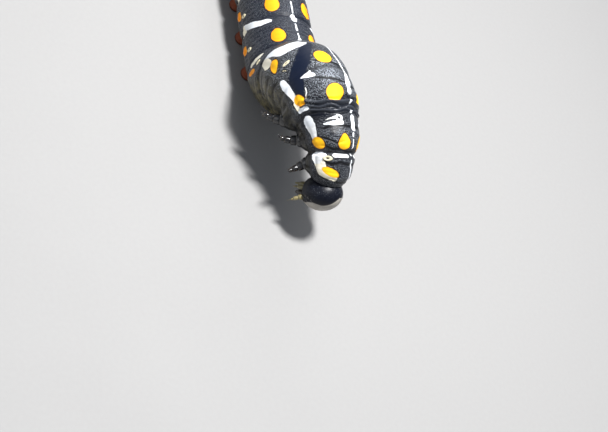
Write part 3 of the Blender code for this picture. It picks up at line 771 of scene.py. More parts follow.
def base_form():
    """A rough closed body of the tube and its feet, to be remeshed evenly."""
    angles = np.linspace(0, 360, 48, endpoint=False)
    turned = np.radians(angles)
    loops = []
    for along in np.linspace(0.5, BODY_LENGTH + NECK_REACH * 0.6, 160):
        place, axes = frame_at(along)
        behind = max(TAIL_REACH - along, 0) / TAIL_REACH
        ahead = max(along - BODY_LENGTH, 0) / NECK_REACH
        radius = smooth_radius(along) * math.sqrt(1 - behind ** 2 - ahead ** 2)
        loops.append(place + radius * out_of(axes, angles))
    parts = [closed_rings(loops, frame_at(0.5)[0], frame_at(BODY_LENGTH + NECK_REACH * 0.6)[0])]
    for _, root, sole, profile, _ in FEET:
        path, radii = [], []
        for share in np.linspace(0, 1, 14):
            ease = share ** FOOT_EASE
            centre = root * (1 - ease) + sole * ease
            centre[2] = root[2] * (1 - share)
            radius = float(foot_radius(np.array([share]), profile)[0])
            path.append(centre)
            radii.append((radius, radius * FOOT_FLATNESS))
        loops = []
        for centre, (wide, deep) in zip(path, radii):
            ring = np.column_stack([wide * np.cos(turned[::2]), deep * np.sin(turned[::2]), np.zeros(24)])
            loops.append(centre + ring[::-1])
        parts.append(closed_rings(loops, path[0], path[-1]))
    return joined(parts)


def near_folds(along, around):
    """Whether points lie on the fore body, where the folds are finest."""
    return (along > place_on(*FINE_START)) & (around < FINE_ANGLE)


def near_dots(along, around):
    """Whether points lie on or close to a ringed dot."""
    near = np.zeros(len(along), dtype=bool)
    for name, share, degrees, ring, half in RINGED_DOTS:
        near |= distance_from(along, around, name, share, degrees) < ring + half + DOT_MARGIN
    return near


def refine(data, wanted):
    """Halve the faces of a mesh where its points are wanted finer."""
    flat = np.empty(len(data.vertices) * 3, dtype=np.float32)
    data.vertices.foreach_get("co", flat)
    along, angle, _ = body_coordinates(flat.reshape(-1, 3).astype(float))
    fine = wanted(along, np.abs(angle))
    mesh = bmesh.new()
    mesh.from_mesh(data)
    mesh.verts.ensure_lookup_table()
    edges = [edge for edge in mesh.edges if fine[edge.verts[0].index] and fine[edge.verts[1].index]]
    bmesh.ops.subdivide_edges(mesh, edges=edges, cuts=1, use_grid_fill=True)
    mesh.to_mesh(data)
    mesh.free()


def rays(points):
    """Directions straight out from the centreline, and how far each point is to keep to its own: wholly on
    the back and flanks of the fore body, which keeps the deep folds clean, and not at all behind it."""
    along, angle, _ = body_coordinates(points)
    index = np.clip(np.searchsorted(STATION_ALONG, along), 0, len(STATIONS) - 1)
    start = place_on(*RAY_START)
    keep = ramp(along, start, start + RAY_RUN) * ramp(along, BODY_LENGTH, BODY_LENGTH - NECK_RUN)
    keep = keep * ramp(np.abs(angle), RAY_ANGLE, RAY_ANGLE - RAY_TURN)
    return out_of(STATION_AXES[index], angle), keep[:, None]


def settle(data, times):
    """Move a mesh's points onto the skin's exact form, along rays or the mesh's normals, and return them."""
    flat = np.empty(len(data.vertices) * 3, dtype=np.float32)
    data.vertices.foreach_get("co", flat)
    out, keep = rays(flat.reshape(-1, 3).astype(float))
    for _ in range(times):
        data.vertices.foreach_get("co", flat)
        points = flat.reshape(-1, 3).astype(float)
        data.vertex_normals.foreach_get("vector", flat)
        way = keep * out + (1 - keep) * flat.reshape(-1, 3)
        way /= np.maximum(np.linalg.norm(way, axis=1), 0.1)[:, None]
        step = np.clip(skin_distance(points), -SETTLE_MOST, SETTLE_MOST)
        points = points - SETTLE_SHARE * step[:, None] * way
        points[:, 2] = np.maximum(points[:, 2], 0)
        data.vertices.foreach_set("co", points.astype(np.float32).ravel())
        data.update()
    return points


def soften_tucks(data, points):
    """Draw the points of the tucks towards the middle of their neighbours, which rounds off their creases."""
    along, angle, _ = body_coordinates(points)
    share = SOFTENING * sum(tucks(along, np.abs(angle), body_noise(along, angle, *WAVE_LUMPS)))[:, None]
    pairs = np.empty(len(data.edges) * 2, dtype=np.int32)
    data.edges.foreach_get("vertices", pairs)
    one, other = pairs.reshape(-1, 2).T
    count = np.bincount(pairs, minlength=len(points))[:, None]
    for _ in range(SOFTENINGS):
        total = np.zeros_like(points)
        np.add.at(total, one, points[other])
        np.add.at(total, other, points[one])
        points = points + share * (total / count - points)
    return points


def skin_mesh():
    """The body's skin with its feet: one even closed surface, laid onto the skin's exact form."""
    points, faces = base_form()
    rough = bpy.data.objects.new("rough", new_mesh("rough", points, faces, 1.0))
    bpy.context.scene.collection.objects.link(rough)
    remesh = rough.modifiers.new("even", "REMESH")
    remesh.mode = "VOXEL"
    remesh.voxel_size = VOXEL
    relax = rough.modifiers.new("relax", "SMOOTH")
    relax.iterations = 6
    bpy.context.view_layer.update()
    evaluated = rough.evaluated_get(bpy.context.evaluated_depsgraph_get())
    data = bpy.data.meshes.new_from_object(evaluated)
    bpy.data.objects.remove(rough, do_unlink=True)
    settle(data, SETTLINGS[0])
    refine(data, near_folds)
    settle(data, SETTLINGS[1])
    refine(data, near_dots)
    points = soften_tucks(data, settle(data, SETTLINGS[2]))
    data.vertices.foreach_set("co", (points * MM).astype(np.float32).ravel())
    data.update()
    data.name = "skin"
    return data, points


# Markings on the skin

def scales_at(name, share, degrees):
    """Millimetres of skin for each millimetre of centreline, and for each degree round the body."""
    along = np.array([place_on(name, share)])
    stretch = stretch_at(along, np.array([float(degrees)]))[0]
    return max(stretch, 0.35), np.interp(along[0], STATION_ALONG, STATION_RADIUS) * np.pi / 180


def distance_from(along, around, name, share, degrees):
    """The distance on the skin from a place on a segment."""
    stretch, per_degree = scales_at(name, share, degrees)
    return np.hypot((along - place_on(name, share)) * stretch, (around - degrees) * per_degree)


def stroke_distance(along, around, name, share, degrees, half, last_share, last_degrees, last_half):
    """The distance to a stroke between two ends, each with its own half-width."""
    middle = (share + last_share) / 2, (degrees + last_degrees) / 2
    stretch, per_degree = scales_at(name, *middle)
    start = np.array([place_on(name, share) * stretch, degrees * per_degree])
    way = np.array([place_on(name, last_share) * stretch, last_degrees * per_degree]) - start
    spread = np.column_stack([along * stretch, around * per_degree]) - start
    part = np.clip(spread @ way / max(way @ way, 1e-9), 0, 1)
    nearest = spread - part[:, None] * way
    return np.hypot(nearest[:, 0], nearest[:, 1]) - (half * (1 - part) + last_half * part)


def spot_distance(along, around, name, share, degrees, half_long, half_wide, taper, tilt):
    """The distance to an oval spot, which may taper towards the tail and tilt towards the flank in front."""
    stretch, per_degree = scales_at(name, share, degrees)
    ahead = (along - place_on(name, share)) * stretch
    beside = (around - degrees) * per_degree
    cosine, sine = math.cos(math.radians(tilt)), math.sin(math.radians(tilt))
    ahead, beside = ahead * cosine + beside * sine, beside * cosine - ahead * sine
    ahead = ahead / half_long
    beside = beside / (half_wide * (1 + taper * np.clip(ahead, -1, 1)))
    return (np.hypot(ahead, beside) - 1) * min(half_long, half_wide), beside


def markings(along, angle):
    """The distances to white and to yellow, and how creamy the white and how orange the yellow is."""
    around = np.abs(angle)
    far = np.full(len(along), 9.0)
    white, cream = far.copy(), np.zeros(len(along))
    spot, orange = far.copy(), np.zeros(len(along))
    strokes, spots, lines = rows_of(STROKES), rows_of(SPOTS), rows_of(BACK_LINE)
    for name in ABDOMEN:
        if name != "abdomen_2":
            strokes += [(name, *stroke) for stroke in ABDOMEN_STROKES]
            spots.append((name, *ABDOMEN_SPOTS[0]))
        spots.append((name, *ABDOMEN_SPOTS[1]))
        lines += [(name, *line) for line in ABDOMEN_BACK_LINE]
    for name, *shape in lines:
        white = np.minimum(white, stroke_distance(along, angle, name, *shape))
    for name, *shape, creamy in strokes:
        near = stroke_distance(along, around, name, *shape)
        cream = np.where(near < white, creamy, cream)
        white = np.minimum(white, near)
    for name, share, degrees, ring, half in RINGED_DOTS:
        reach = distance_from(along, around, name, share, degrees)
        white = np.where(reach < ring, ring - half - reach, np.minimum(white, reach - ring - half))
    for name, *shape, warm in spots:
        near, beside = spot_distance(along, around, name, *shape)
        orange = np.where(near < spot, warm + SPOT_SHADING * np.clip(beside, -1, 1), orange)
        spot = np.minimum(spot, near)
    return white, cream, spot, orange


def crease_share(along):
    """From 0 on open skin to 1 in the bottom of a crease between segments."""
    share = np.zeros(len(along))
    for name in NAMES[1:]:
        share = np.maximum(share, hill(along - span_of(name)[0], CREASE_WIDTH * 0.8))
    return share


def granules_and_shade(along, angle):
    """From 0 where the skin is bare to 1 where granules are dense, partly painted light, and from 0 to 1 in
    the smooth band of painted shade.
    """
    around = np.abs(angle)
    edges = [(place_on(name, share), low, high) for name, share, low, high in rows_of(SHADE_BAND)]
    places, lows, highs = zip(*edges)
    within = (along > places[0]) & (along < places[-1])
    low, high, half = np.interp(along, places, lows), np.interp(along, places, highs), SHADE_BAND_EDGE / 2
    shade_band = within * ramp(around, low - half, low + half) * ramp(around, high + half, high - half)
    places = [place_on(name, share) for name, share, _ in rows_of(GRANULES_AND_LIGHT)]
    columns = [np.interp(along, places, column) for column in zip(*[row for *_, row in rows_of(GRANULES_AND_LIGHT)])]
    share = columns[0]
    for before, degrees, column in zip(GRANULE_ANGLES, GRANULE_ANGLES[1:], columns[1:]):
        share = share + (column - share) * ramp(around, before, degrees)
    belly = ramp(around, BELLY_ANGLE, BELLY_ANGLE + BELLY_EASE)
    away = distance_from(along, around, *BARE_PATCH[:3])
    share = share * (1 - (1 - BELLY_GRANULES) * belly) * (1 - hill(away, BARE_PATCH[3]))
    # Painted shade: the rear body takes a share of the band's colour
    start = place_on(*REAR_SHADE_START)
    rear_shade = REAR_SHADE_SHARE * ramp(along, start, start - REAR_SHADE_RUN)
    return share * (1 - shade_band), np.maximum(shade_band, rear_shade)


def build_skin(finish):
    data, points = skin_mesh()
    along, angle, _ = body_coordinates(points)
    around = np.abs(angle)
    wave = body_noise(along, angle, *WAVE_LUMPS)
    granules_and_light, shade_band = granules_and_shade(along, angle)
    white, cream, spot, orange = markings(along, angle)
    foot = np.zeros(len(points))
    for one in FEET:
        near = foot_distance(points, one)
        depth = np.clip(foot_share(points, one), 0, 1)
        foot = np.maximum(foot, np.where(near < FOOT_MARGIN, depth, 0))
    clear = foot > FOOT_CLEAR
    places = [place_on(name, share) for name, share, _ in OLIVE_AND_SHADE]
    olive_and_shade = np.interp(along, places, [much for *_, much in OLIVE_AND_SHADE])
    values = {
        "run": along, "round": around * MEAN_RADIUS * np.pi / 180, "granules_and_light": granules_and_light, "shade_band": shade_band,
        "furrow_bare_and_shaded": folds(along, angle, wave)[1], "tuck_sheen": tucks(along, around, wave)[1],
        "white": np.where(clear, 9, white), "cream": cream, "spot": np.where(clear, 9, spot),
        "orange": orange, "crease": crease_share(along), "foot": foot,
        "belly": olive_and_shade * ramp(around, OLIVE_ANGLE, OLIVE_ANGLE + OLIVE_EASE),
    }
    for name, numbers in values.items():
        set_values(data, name, numbers)
    nodes = NAMES + [name for name, *_ in FEET]
    return new_piece("skin", data, finish, nodes)


# Node helpers, and the places of a Mix node's sockets for colours

MIX_ONE, MIX_OTHER, MIX_RESULT = 6, 7, 2


class Nodes:
    """Short ways to add and link shader nodes in one material."""

    def __init__(self, name, **sockets):
        self.material = bpy.data.materials.new(name)
        self.material.use_nodes = True
        self.tree = self.material.node_tree
        self.shader = self.tree.nodes["Principled BSDF"]
        for socket, value in sockets.items():
            self.shader.inputs[socket.replace("_", " ").title().replace("Ior", "IOR")].default_value = value

    def put(self, socket, value):
        """Link a value to a socket, or set it there."""
        if isinstance(value, bpy.types.NodeSocket):
            self.tree.links.new(value, socket)
        elif isinstance(value, tuple) and len(value) == 3 and len(socket.default_value) == 4:
            socket.default_value = (*value, 1)
        else:
            socket.default_value = value

    def node(self, kind, **values):
        """A new node, with its inputs' values or links by name."""
        node = self.tree.nodes.new("ShaderNode" + kind)
        for name, value in values.items():
            self.put(node.inputs[name.replace("_", " ").title()], value)
        return node

    def attribute(self, name):
        node = self.node("Attribute")
        node.attribute_name = name
        return node.outputs["Fac"]

    def place(self):
        return self.node("TexCoord").outputs["Object"]

    def noise(self, size, detail=2.0, vector=None):
        """Noise from 0 to 1 whose lumps have a size in millimetres."""
        node = self.node("TexNoise", vector=vector or self.place(), scale=1 / (size * MM), detail=detail)
        return node.outputs["Fac"]

    def skin_place(self):
        """The place on the skin, in metres along and round the body."""
        along, round_it = (self.times(self.attribute(name), MM) for name in ("run", "round"))
        return self.node("CombineXYZ", x=along, y=round_it).outputs["Vector"]

    def cells(self, size, vector=None, randomness=1.0):
        """Cells of a size in millimetres: the distance to each middle in cell sizes, and a random colour."""
        node = self.node("TexVoronoi", scale=1 / (size * MM), randomness=randomness)
        node.voronoi_dimensions = "2D" if vector else "3D"
        self.put(node.inputs["Vector"], vector or self.place())
        return node.outputs["Distance"], node.outputs["Color"]

    def math(self, operation, one, other=0.0, third=0.0):
        node = self.node("Math")
        node.operation = operation
        for socket, value in zip(node.inputs, (one, other, third)):
            self.put(socket, value)
        return node.outputs["Value"]

    def times(self, one, other):
        return self.math("MULTIPLY", one, other)

    def scaled(self, value, factor, more):
        """A value times a factor, with more added."""
        return self.math("MULTIPLY_ADD", value, factor, more)

    def ease(self, value, low, high):
        """From 0 at the low value to 1 at the high one, smoothly."""
        node = self.node("MapRange", value=value, from_min=low, from_max=high)
        node.interpolation_type = "SMOOTHSTEP"
        return node.outputs["Result"]

    def fade(self, value, low, high):
        """From 1 at the low value to 0 at the high one, smoothly."""
        return self.math("SUBTRACT", 1.0, self.ease(value, low, high))

    def mix(self, share, one, other):
        """A colour between two, by a share from 0 to 1."""
        node = self.node("Mix", factor=share)
        node.data_type = "RGBA"
        self.put(node.inputs[MIX_ONE], one)
        self.put(node.inputs[MIX_OTHER], other)
        return node.outputs[MIX_RESULT]

    def bump(self, height, distance, strength=1.0):
        """Raise the surface by a height, of which 1 is a distance in millimetres."""
        node = self.node("Bump", strength=strength, distance=distance * MM, height=height)
        self.put(self.shader.inputs["Normal"], node.outputs["Normal"])

    def colour(self, value):
        self.put(self.shader.inputs["Base Color"], value)

    def roughness(self, value):
        self.put(self.shader.inputs["Roughness"], value)


# Finishes

def skin_finish():
    """Velvety blue-black skin with pale granules, white strokes and yellow to orange spots, with painted
    light in the granules, painted shade in a band, on the rear body and in the folds, and a painted sheen on
    the tucks.
    """
    n = Nodes("velvet skin", specular_ior_level=0.28)
    surface = n.skin_place()
    reach, tone = n.cells(0.19, surface, 0.7)
    lumps = n.noise(0.8, 3)
    wide = n.noise(4.5, 2)
    fine = n.noise(0.1, 2)
    creases = n.noise(0.35, 3, surface)
    belly = n.attribute("belly")
    crease = n.attribute("crease")
    foot = n.attribute("foot")
    granules_and_light = n.attribute("granules_and_light")
    spot = n.attribute("spot")
    white = n.attribute("white")
    # Partly painted light: the ground is paler where the granules lie thick, on the lit top of the fore body
    ground = n.mix(granules_and_light, (0.003, 0.0042, 0.0085), (0.0095, 0.011, 0.0145))
    ground = n.mix(n.times(wide, 0.5), ground, (0.004, 0.0045, 0.007))
    # Painted shade: the smooth blue-black band on the fore body's flank, and a share of it on the rear body
    ground = n.mix(n.attribute("shade_band"), ground, (0.0016, 0.0052, 0.018))
    # Olive on the belly in lumps, weaker on the thorax, where that paints shade
    ground = n.mix(n.times(belly, n.ease(lumps, 0.25, 0.65)), ground, (0.12, 0.105, 0.055))
    # Painted sheen: the tops of the tucks are lighter
    ground = n.mix(n.times(n.attribute("tuck_sheen"), 0.8), ground, (0.042, 0.047, 0.058))
    # Painted shade: the insides of the sharp folds are darker
    ground = n.mix(n.times(n.attribute("furrow_bare_and_shaded"), 0.9), ground, (0.0018, 0.0018, 0.0025))
    ground = n.mix(n.times(n.ease(foot, 0.35, 0.62), 0.9), ground, (0.2, 0.04, 0.012))
    ground = n.mix(n.times(n.ease(foot, 0.84, 0.95), 0.85), ground, (0.035, 0.012, 0.007))
    size = n.scaled(tone, 0.18, n.scaled(granules_and_light, 0.32, 0.1))
    grain = n.fade(reach, n.times(size, 0.6), size)
    shown = n.times(n.ease(granules_and_light, 0.02, 0.2), n.scaled(crease, -0.8, 1.0))
    shown = n.times(shown, n.fade(foot, 0.15, 0.4))
    shown = n.times(shown, n.fade(n.attribute("furrow_bare_and_shaded"), 0.2, 0.7))
    shown = n.times(shown, n.ease(n.math("MINIMUM", spot, white), 0.08, 0.2))
    dots = n.times(grain, shown)
    # Partly painted light: the granules are brighter where they lie thick, on the lit top of the fore body
    bright = n.mix(tone, (0.15, 0.16, 0.18), n.mix(granules_and_light, (0.34, 0.36, 0.39), (0.5, 0.55, 0.62)))
    paint = n.mix(n.times(dots, 0.9), ground, bright)
    ragged = n.scaled(reach, 0.08, n.scaled(creases, 0.15, -0.12))
    spot = n.math("ADD", spot, n.scaled(creases, 0.15, -0.075))
    yolk = n.mix(n.attribute("orange"), (0.95, 0.64, 0.01), (0.94, 0.29, 0.0))
    rim = n.mix(n.times(n.ease(spot, -0.18, -0.02), 0.7), yolk, (0.92, 0.33, 0.01))
    warm = n.mix(n.times(n.math("SUBTRACT", 1.0, grain), 0.16), rim, (0.8, 0.3, 0.0))
    white = n.math("ADD", white, ragged)
    pale = n.mix(n.attribute("cream"), (0.88, 0.91, 0.94), (0.9, 0.78, 0.48))
    pale = n.mix(n.times(creases, 0.16), pale, (0.5, 0.54, 0.6))
    paint = n.mix(n.fade(white, -0.05, 0.04), paint, pale)
    paint = n.mix(n.fade(spot, -0.05, 0.04), paint, warm)
    n.colour(paint)
    dull = n.ease(n.math("ADD", granules_and_light, n.attribute("shade_band")), 0.0, 0.35)
    dull = n.math("ADD", dull, n.times(n.fade(spot, -0.3, 0.0), 1.2))
    n.roughness(n.scaled(fine, 0.16, n.scaled(dull, 0.2, 0.17)))
    height = n.scaled(dots, 0.9, n.times(fine, 0.2))
    n.bump(n.scaled(creases, 0.4, height), 0.05, 0.8)
    return n.material


def head_finish():
    """A glossy blue-black capsule with a pale front bounded by dark sutures."""
    n = Nodes("head capsule", specular_ior_level=0.2, coat_weight=0.06, coat_roughness=0.25)
    reach, tone = n.cells(0.2)
    lumps = n.noise(0.9, 3)
    fine = n.noise(0.16, 2)
    dots = n.fade(reach, 0.1, n.scaled(tone, 0.18, 0.16))
    dots = n.times(dots, n.attribute("top"))
    dark = n.mix(lumps, (0.0015, 0.0022, 0.006), (0.0045, 0.006, 0.012))
    dark = n.mix(n.times(dots, 0.7), dark, (0.2, 0.22, 0.25))
    pale = n.mix(lumps, (0.46, 0.43, 0.38), (0.27, 0.25, 0.22))
    pits = n.fade(reach, 0.12, 0.3)
    pale = n.mix(n.times(pits, 0.35), pale, (0.16, 0.14, 0.11))
    frons = n.math("ADD", n.attribute("frons"), n.scaled(lumps, 0.1, -0.05))
    paint = n.mix(n.ease(frons, -0.06, 0.06), pale, dark)
    near = n.math("ABSOLUTE", n.attribute("frons"))
    for name in ("inner", "seam"):
        near = n.math("MINIMUM", near, n.math("ABSOLUTE", n.attribute(name)))
    suture = n.fade(near, 0.03, 0.1)
    paint = n.mix(n.times(suture, 0.85), paint, (0.01, 0.009, 0.01))
    n.colour(paint)
    n.roughness(n.scaled(fine, 0.16, 0.32))
    n.bump(n.scaled(pits, -0.5, n.scaled(dots, 1.0, fine)), 0.03, 0.6)
    return n.material


def hard_finish(name, dark, light, roughness, grain=0.25, **sockets):
    """A hard glossy finish with clouded colour and a faint grain."""
    n = Nodes(name, **sockets)
    cloud = n.noise(0.7, 3)
    fine = n.noise(grain * 0.5, 2)
    n.colour(n.mix(cloud, dark, light))
    n.roughness(n.scaled(fine, 0.14, roughness))
    n.bump(fine, 0.02, 0.5)
    return n.material


def leg_finish():
    """Shiny black legs whose joints show a paler, duller membrane."""
    n = Nodes("shiny leg", specular_ior_level=0.6, coat_weight=0.3, coat_roughness=0.15)
    cloud = n.noise(0.5, 3)
    fine = n.noise(0.09, 2)
    joint = n.attribute("joint")
    hard = n.mix(cloud, (0.005, 0.005, 0.006), (0.016, 0.015, 0.016))
    n.colour(n.mix(joint, hard, (0.085, 0.07, 0.045)))
    n.roughness(n.scaled(joint, 0.3, n.scaled(fine, 0.12, 0.16)))
    n.bump(fine, 0.02, 0.5)
    return n.material


def horn_finish():
    """An orange-red horn with a black tip, grained all over."""
    n = Nodes("horn", specular_ior_level=0.5)
    reach, tone = n.cells(0.3)
    fine = n.noise(0.2, 2)
    red = n.mix(tone, (0.42, 0.055, 0.012), (0.52, 0.12, 0.02))
    red = n.mix(n.ease(reach, 0.25, 0.6), red, (0.2, 0.025, 0.01))
    n.colour(n.mix(n.attribute("tip"), red, (0.008, 0.008, 0.01)))
    n.roughness(n.scaled(fine, 0.15, 0.32))
    n.bump(n.math("SUBTRACT", 1.0, reach), 0.06, 0.8)
    return n.material


def spiracle_finish():
    """A cream oval with a dark slit."""
    n = Nodes("spiracle", specular_ior_level=0.45)
    fine = n.noise(0.1, 2)
    cream = n.mix(fine, (0.82, 0.76, 0.52), (0.66, 0.6, 0.42))
    n.colour(n.mix(n.attribute("slit"), cream, (0.03, 0.022, 0.016)))
    n.roughness(n.scaled(fine, 0.2, 0.35))
    n.bump(fine, 0.02, 0.5)
    return n.material


# Head

def head_frame():
    """The head's centre, and its directions: to the face, to the left, and to the mouth."""
    place, axes = frame_at(BODY_LENGTH)
    _, side, back = (turn(axes[:, 1], HEAD_BEND) @ axes).T
    centre = place + axes[:, 0] * HEAD_REACH
    mouth = turn(side, -MOUTH_FORWARD) @ -back
    face = np.cross(mouth, side)
    return centre, face, side, mouth


def half_angle(polar, shape):
    """How far from the face's middle, in degrees, a shape reaches at an angle from the vertex."""
    places, halves = zip(*shape)
    return np.interp(polar, places, halves)


def head_points(polar, azimuth, extra=0.0):
    """Points on the head by their angle from the vertex and round from the face, and how far each is
    from the pale front's edge and from the edge of the triangle in it."""
    centre, face, side, mouth = head_frame()
    down, turned = np.radians(polar), np.radians(azimuth)
    beside = np.abs((azimuth + 180) % 360 - 180)
    cheeks = 1 + CHEEK_SWELL * np.sin(down) ** 2 * np.sin(turned) ** 2
    above = np.maximum(np.cos(down / 2), 0)
    seam = ramp(polar, INNER_SHAPE[0][0] + SEAM_FADE, INNER_SHAPE[0][0])
    groove = GROOVE_DEPTH * hill(beside, GROOVE_WIDTH) * above * seam
    groove = groove + GROOVE_DEPTH * hill(180 - beside, GROOVE_WIDTH) * above
    per_degree = np.pi / 180 * HEAD_WIDTH * np.sin(down)
    edge = (beside - half_angle(polar, FRONS_SHAPE)) * per_degree
    inner = (beside - half_angle(polar, INNER_SHAPE)) * per_degree
    groove = groove + EDGE_DEPTH * hill(edge, EDGE_WIDTH) * (polar < FRONS_BASE) * (polar > FRONS_APEX)
    groove = groove + INNER_DEPTH * hill(inner, INNER_WIDTH) * (polar < FRONS_BASE) * (1 - seam)
    swell = extra - groove
    offset = np.outer((HEAD_DEPTH + swell) * np.sin(down) * np.cos(turned), face)
    offset += np.outer((HEAD_WIDTH + swell) * np.sin(down) * np.sin(turned) * cheeks, side)
    low = -(HEAD_HEIGHT + swell) * np.cos(down)
    low = smooth_least(low, np.full(len(low), MOUTH_LEVEL + extra), 0.5)
    return centre + offset + np.outer(low, mouth), edge, inner


def head_point(polar, azimuth, extra=0.0):
    return head_points(np.array([float(polar)]), np.array([float(azimuth)]), extra)[0][0]


def build_head(finish, eye_finish):
    rows, columns = 130, 168
    polars = 180 * np.arange(1, rows) / rows
    azimuths = 360 * np.arange(columns) / columns
    polar, azimuth = (grid.ravel() for grid in np.meshgrid(polars, azimuths, indexing="ij"))
    points, edge, inner = head_points(polar, azimuth)
    loops = points.reshape(rows - 1, columns, 3)
    top, bottom = head_point(0, 0), head_point(180, 0)
    points, faces = closed_rings(list(loops), top, bottom)
    data = new_mesh("head", points, faces)
    frons = edge + 2 * ramp(polar, FRONS_APEX, FRONS_APEX - 6)
    inner = np.where((polar > INNER_SHAPE[0][0]) & (polar < FRONS_BASE), inner, 1)
    signed = (azimuth + 180) % 360 - 180
    seam = np.where(polar < INNER_SHAPE[0][0], np.radians(signed) * HEAD_WIDTH * np.sin(np.radians(polar)), 1)
    for name, values in (("frons", frons), ("inner", inner), ("seam", seam)):
        set_values(data, name, np.append(values, [1, 1]))
    top_share = ramp(np.abs(signed), *TOP_SIDES) * ramp(polar, *TOP_LOW)
    set_values(data, "top", np.append(top_share, [1, 0]))
    new_piece("head", data, finish, ["head_capsule"])
    domes = []
    for flip in (-1, 1):
        for eye_polar, eye_azimuth in STEMMATA:
            domes.append(ball(head_point(eye_polar, eye_azimuth * flip, -0.05), STEMMA_RADIUS, 16))
    join_piece("stemmata", domes, eye_finish)


def ball(centre, radius, sides):
    """A round ball of rings."""
    loops = []
    turned = 2 * np.pi * np.arange(sides) / sides
    for ring in range(1, sides // 2):
        down = 2 * np.pi * ring / sides
        flat = radius * math.sin(down)
        height = np.full(sides, radius * math.cos(down))
        loops.append(centre + np.column_stack([flat * np.cos(turned), flat * np.sin(turned), height]))
    return closed_rings(loops, centre + [0, 0, radius], centre - [0, 0, radius])


def lobe(sizes, flip=1, sink=0.7, notch=0.0, teeth=0.0):
    """A mouthpart that stands in the mouth's flat: points, faces and the place of its tip."""
    centre, face, side, mouth = head_frame()
    left = sizes.get("left", 0) * flip
    lean = sizes.get("lean", 0) * flip
    root = centre + mouth * (MOUTH_LEVEL - sink) + face * sizes["forward"] + side * left
    whole = sizes["long"] + sink + 0.3
    shares = np.concatenate([np.linspace(0, 0.85, 16), 1 - 0.15 * (1 - np.linspace(0.15, 1, 8)) ** 2])
    path = [root + mouth * whole * share - side * lean * share ** 2 for share in shares]
    swell = 0.9 + 0.12 * np.sin(np.pi * shares) - 0.55 * shares ** 6
    round_off = np.sqrt(np.maximum(1 - ramp(shares, 0.82, 1.01) ** 2, 0.02))
    radii = [(sizes["wide"] * grow, sizes["thick"] * grow) for grow in swell * round_off]
    points, faces = swept(path, radii, side, 28)
    share = (points - root) @ mouth / whole
    beside = (points - root) @ side
    points = points - np.outer(notch * hill(beside, 0.3) * np.clip(share, 0, 1) ** 4, mouth)
    ripple = np.cos(2 * np.pi * beside / 0.3) * ramp(share, 0.7, 1)
    return points + np.outer(teeth * ripple, mouth), faces, path[-1]


def build_mouthparts(pale, dark):
    join_piece("labrum_shell", [lobe(LABRUM, notch=0.32)[:2]], pale, ["labrum"])
    for word, flip in (("left", 1), ("right", -1)):
        name = f"mandible_{word}"
        join_piece(f"{name}_shell", [lobe(MANDIBLE, flip, teeth=0.07)[:2]], dark, [name])
    side, mouth = head_frame()[2:]
    points, faces, tip = lobe(LABIUM, notch=-0.05)
    parts = [(points, faces)]
    shares = np.linspace(0, 1, 10)
    path = [tip + mouth * (SPINNERET["long"] * share - SPINNERET["root"] * (1 - share)) for share in shares]
    radii = [SPINNERET["root"] * (1 - share) + SPINNERET["tip"] * share for share in shares]
    parts.append(swept(path, radii, side, 16))
    for flip in (1, -1):
        start = tip + side * 0.5 * flip - mouth * 0.3
        parts.append(palp(start, unit(mouth + side * 0.25 * flip), side, 0.5, 0.14))
    join_piece("labium_shell", parts, pale, ["labium"])
    parts = []
    for flip in (1, -1):
        points, faces, tip = lobe(MAXILLA, flip)
        parts.append((points, faces))
        for lean in (-0.14, 0.16):
            start = tip + side * lean * flip - mouth * 0.2
            parts.append(palp(start, unit(mouth + side * lean * 1.6 * flip), side, 0.62, 0.17))
    join_piece("maxillae", parts, pale)


def palp(start, heading, across, length, radius):
    """A small feeler of three joints."""
    path, radii = [], []
    for joint in range(3):
        size = radius * (1 - 0.27 * joint)
        for share, grow in ((0.0, 0.8), (0.15, 1.0), (0.85, 0.95), (1.0, 0.7)):
            path.append(start + heading * length * (joint + share) / 3)
            radii.append(size * grow)
    path.append(path[-1] + heading * radius * 0.25)
    radii.append(radii[-1] * 0.4)
    return swept([point + heading * index * 1e-4 for index, point in enumerate(path)], radii, across, 14)


def build_antennae(finish):
    face, side, mouth = head_frame()[1:]
    for word, flip in (("left", 1), ("right", -1)):
        root = head_point(ANTENNA_POLAR, ANTENNA_AZIMUTH * flip)
        lean = side * ANTENNA_HEADING["side"] * flip + face * ANTENNA_HEADING["face"]
        heading = unit(mouth * ANTENNA_HEADING["mouth"] + lean)
        path, radii = [root - heading * 0.35], [ANTENNA_ARTICLES[0][1] * 1.15]
        place = root
        for length, radius in ANTENNA_ARTICLES:
            for share, grow in ((0.06, 0.86), (0.14, 1.0), (0.5, 1.02), (0.86, 0.95), (0.96, 0.78)):
                path.append(place + heading * length * share)
                radii.append(radius * grow)
            place = place + heading * length
        parts = [swept(path, radii, face, 22), cone(place - heading * 0.1, heading, 0.9, 0.035, side)]
        name = f"antenna_{word}"
        join_piece(f"{name}_joints", parts, finish, [name])


# Legs, feet, horn and spiracles

def cone(start, heading, length, radius, across, curl=0.0, sides=6):
    """A thin pointed bristle or hook."""
    path, radii = [], []
    hinge = unit(np.cross(heading, across))
    for share in np.linspace(0, 1, 6):
        path.append(start)
        radii.append(radius * (1 - share) + radius * 0.12)
        start = start + heading * length / 5
        heading = turn(hinge, curl / 5) @ heading if curl else heading
    return swept(path, radii, across, sides)


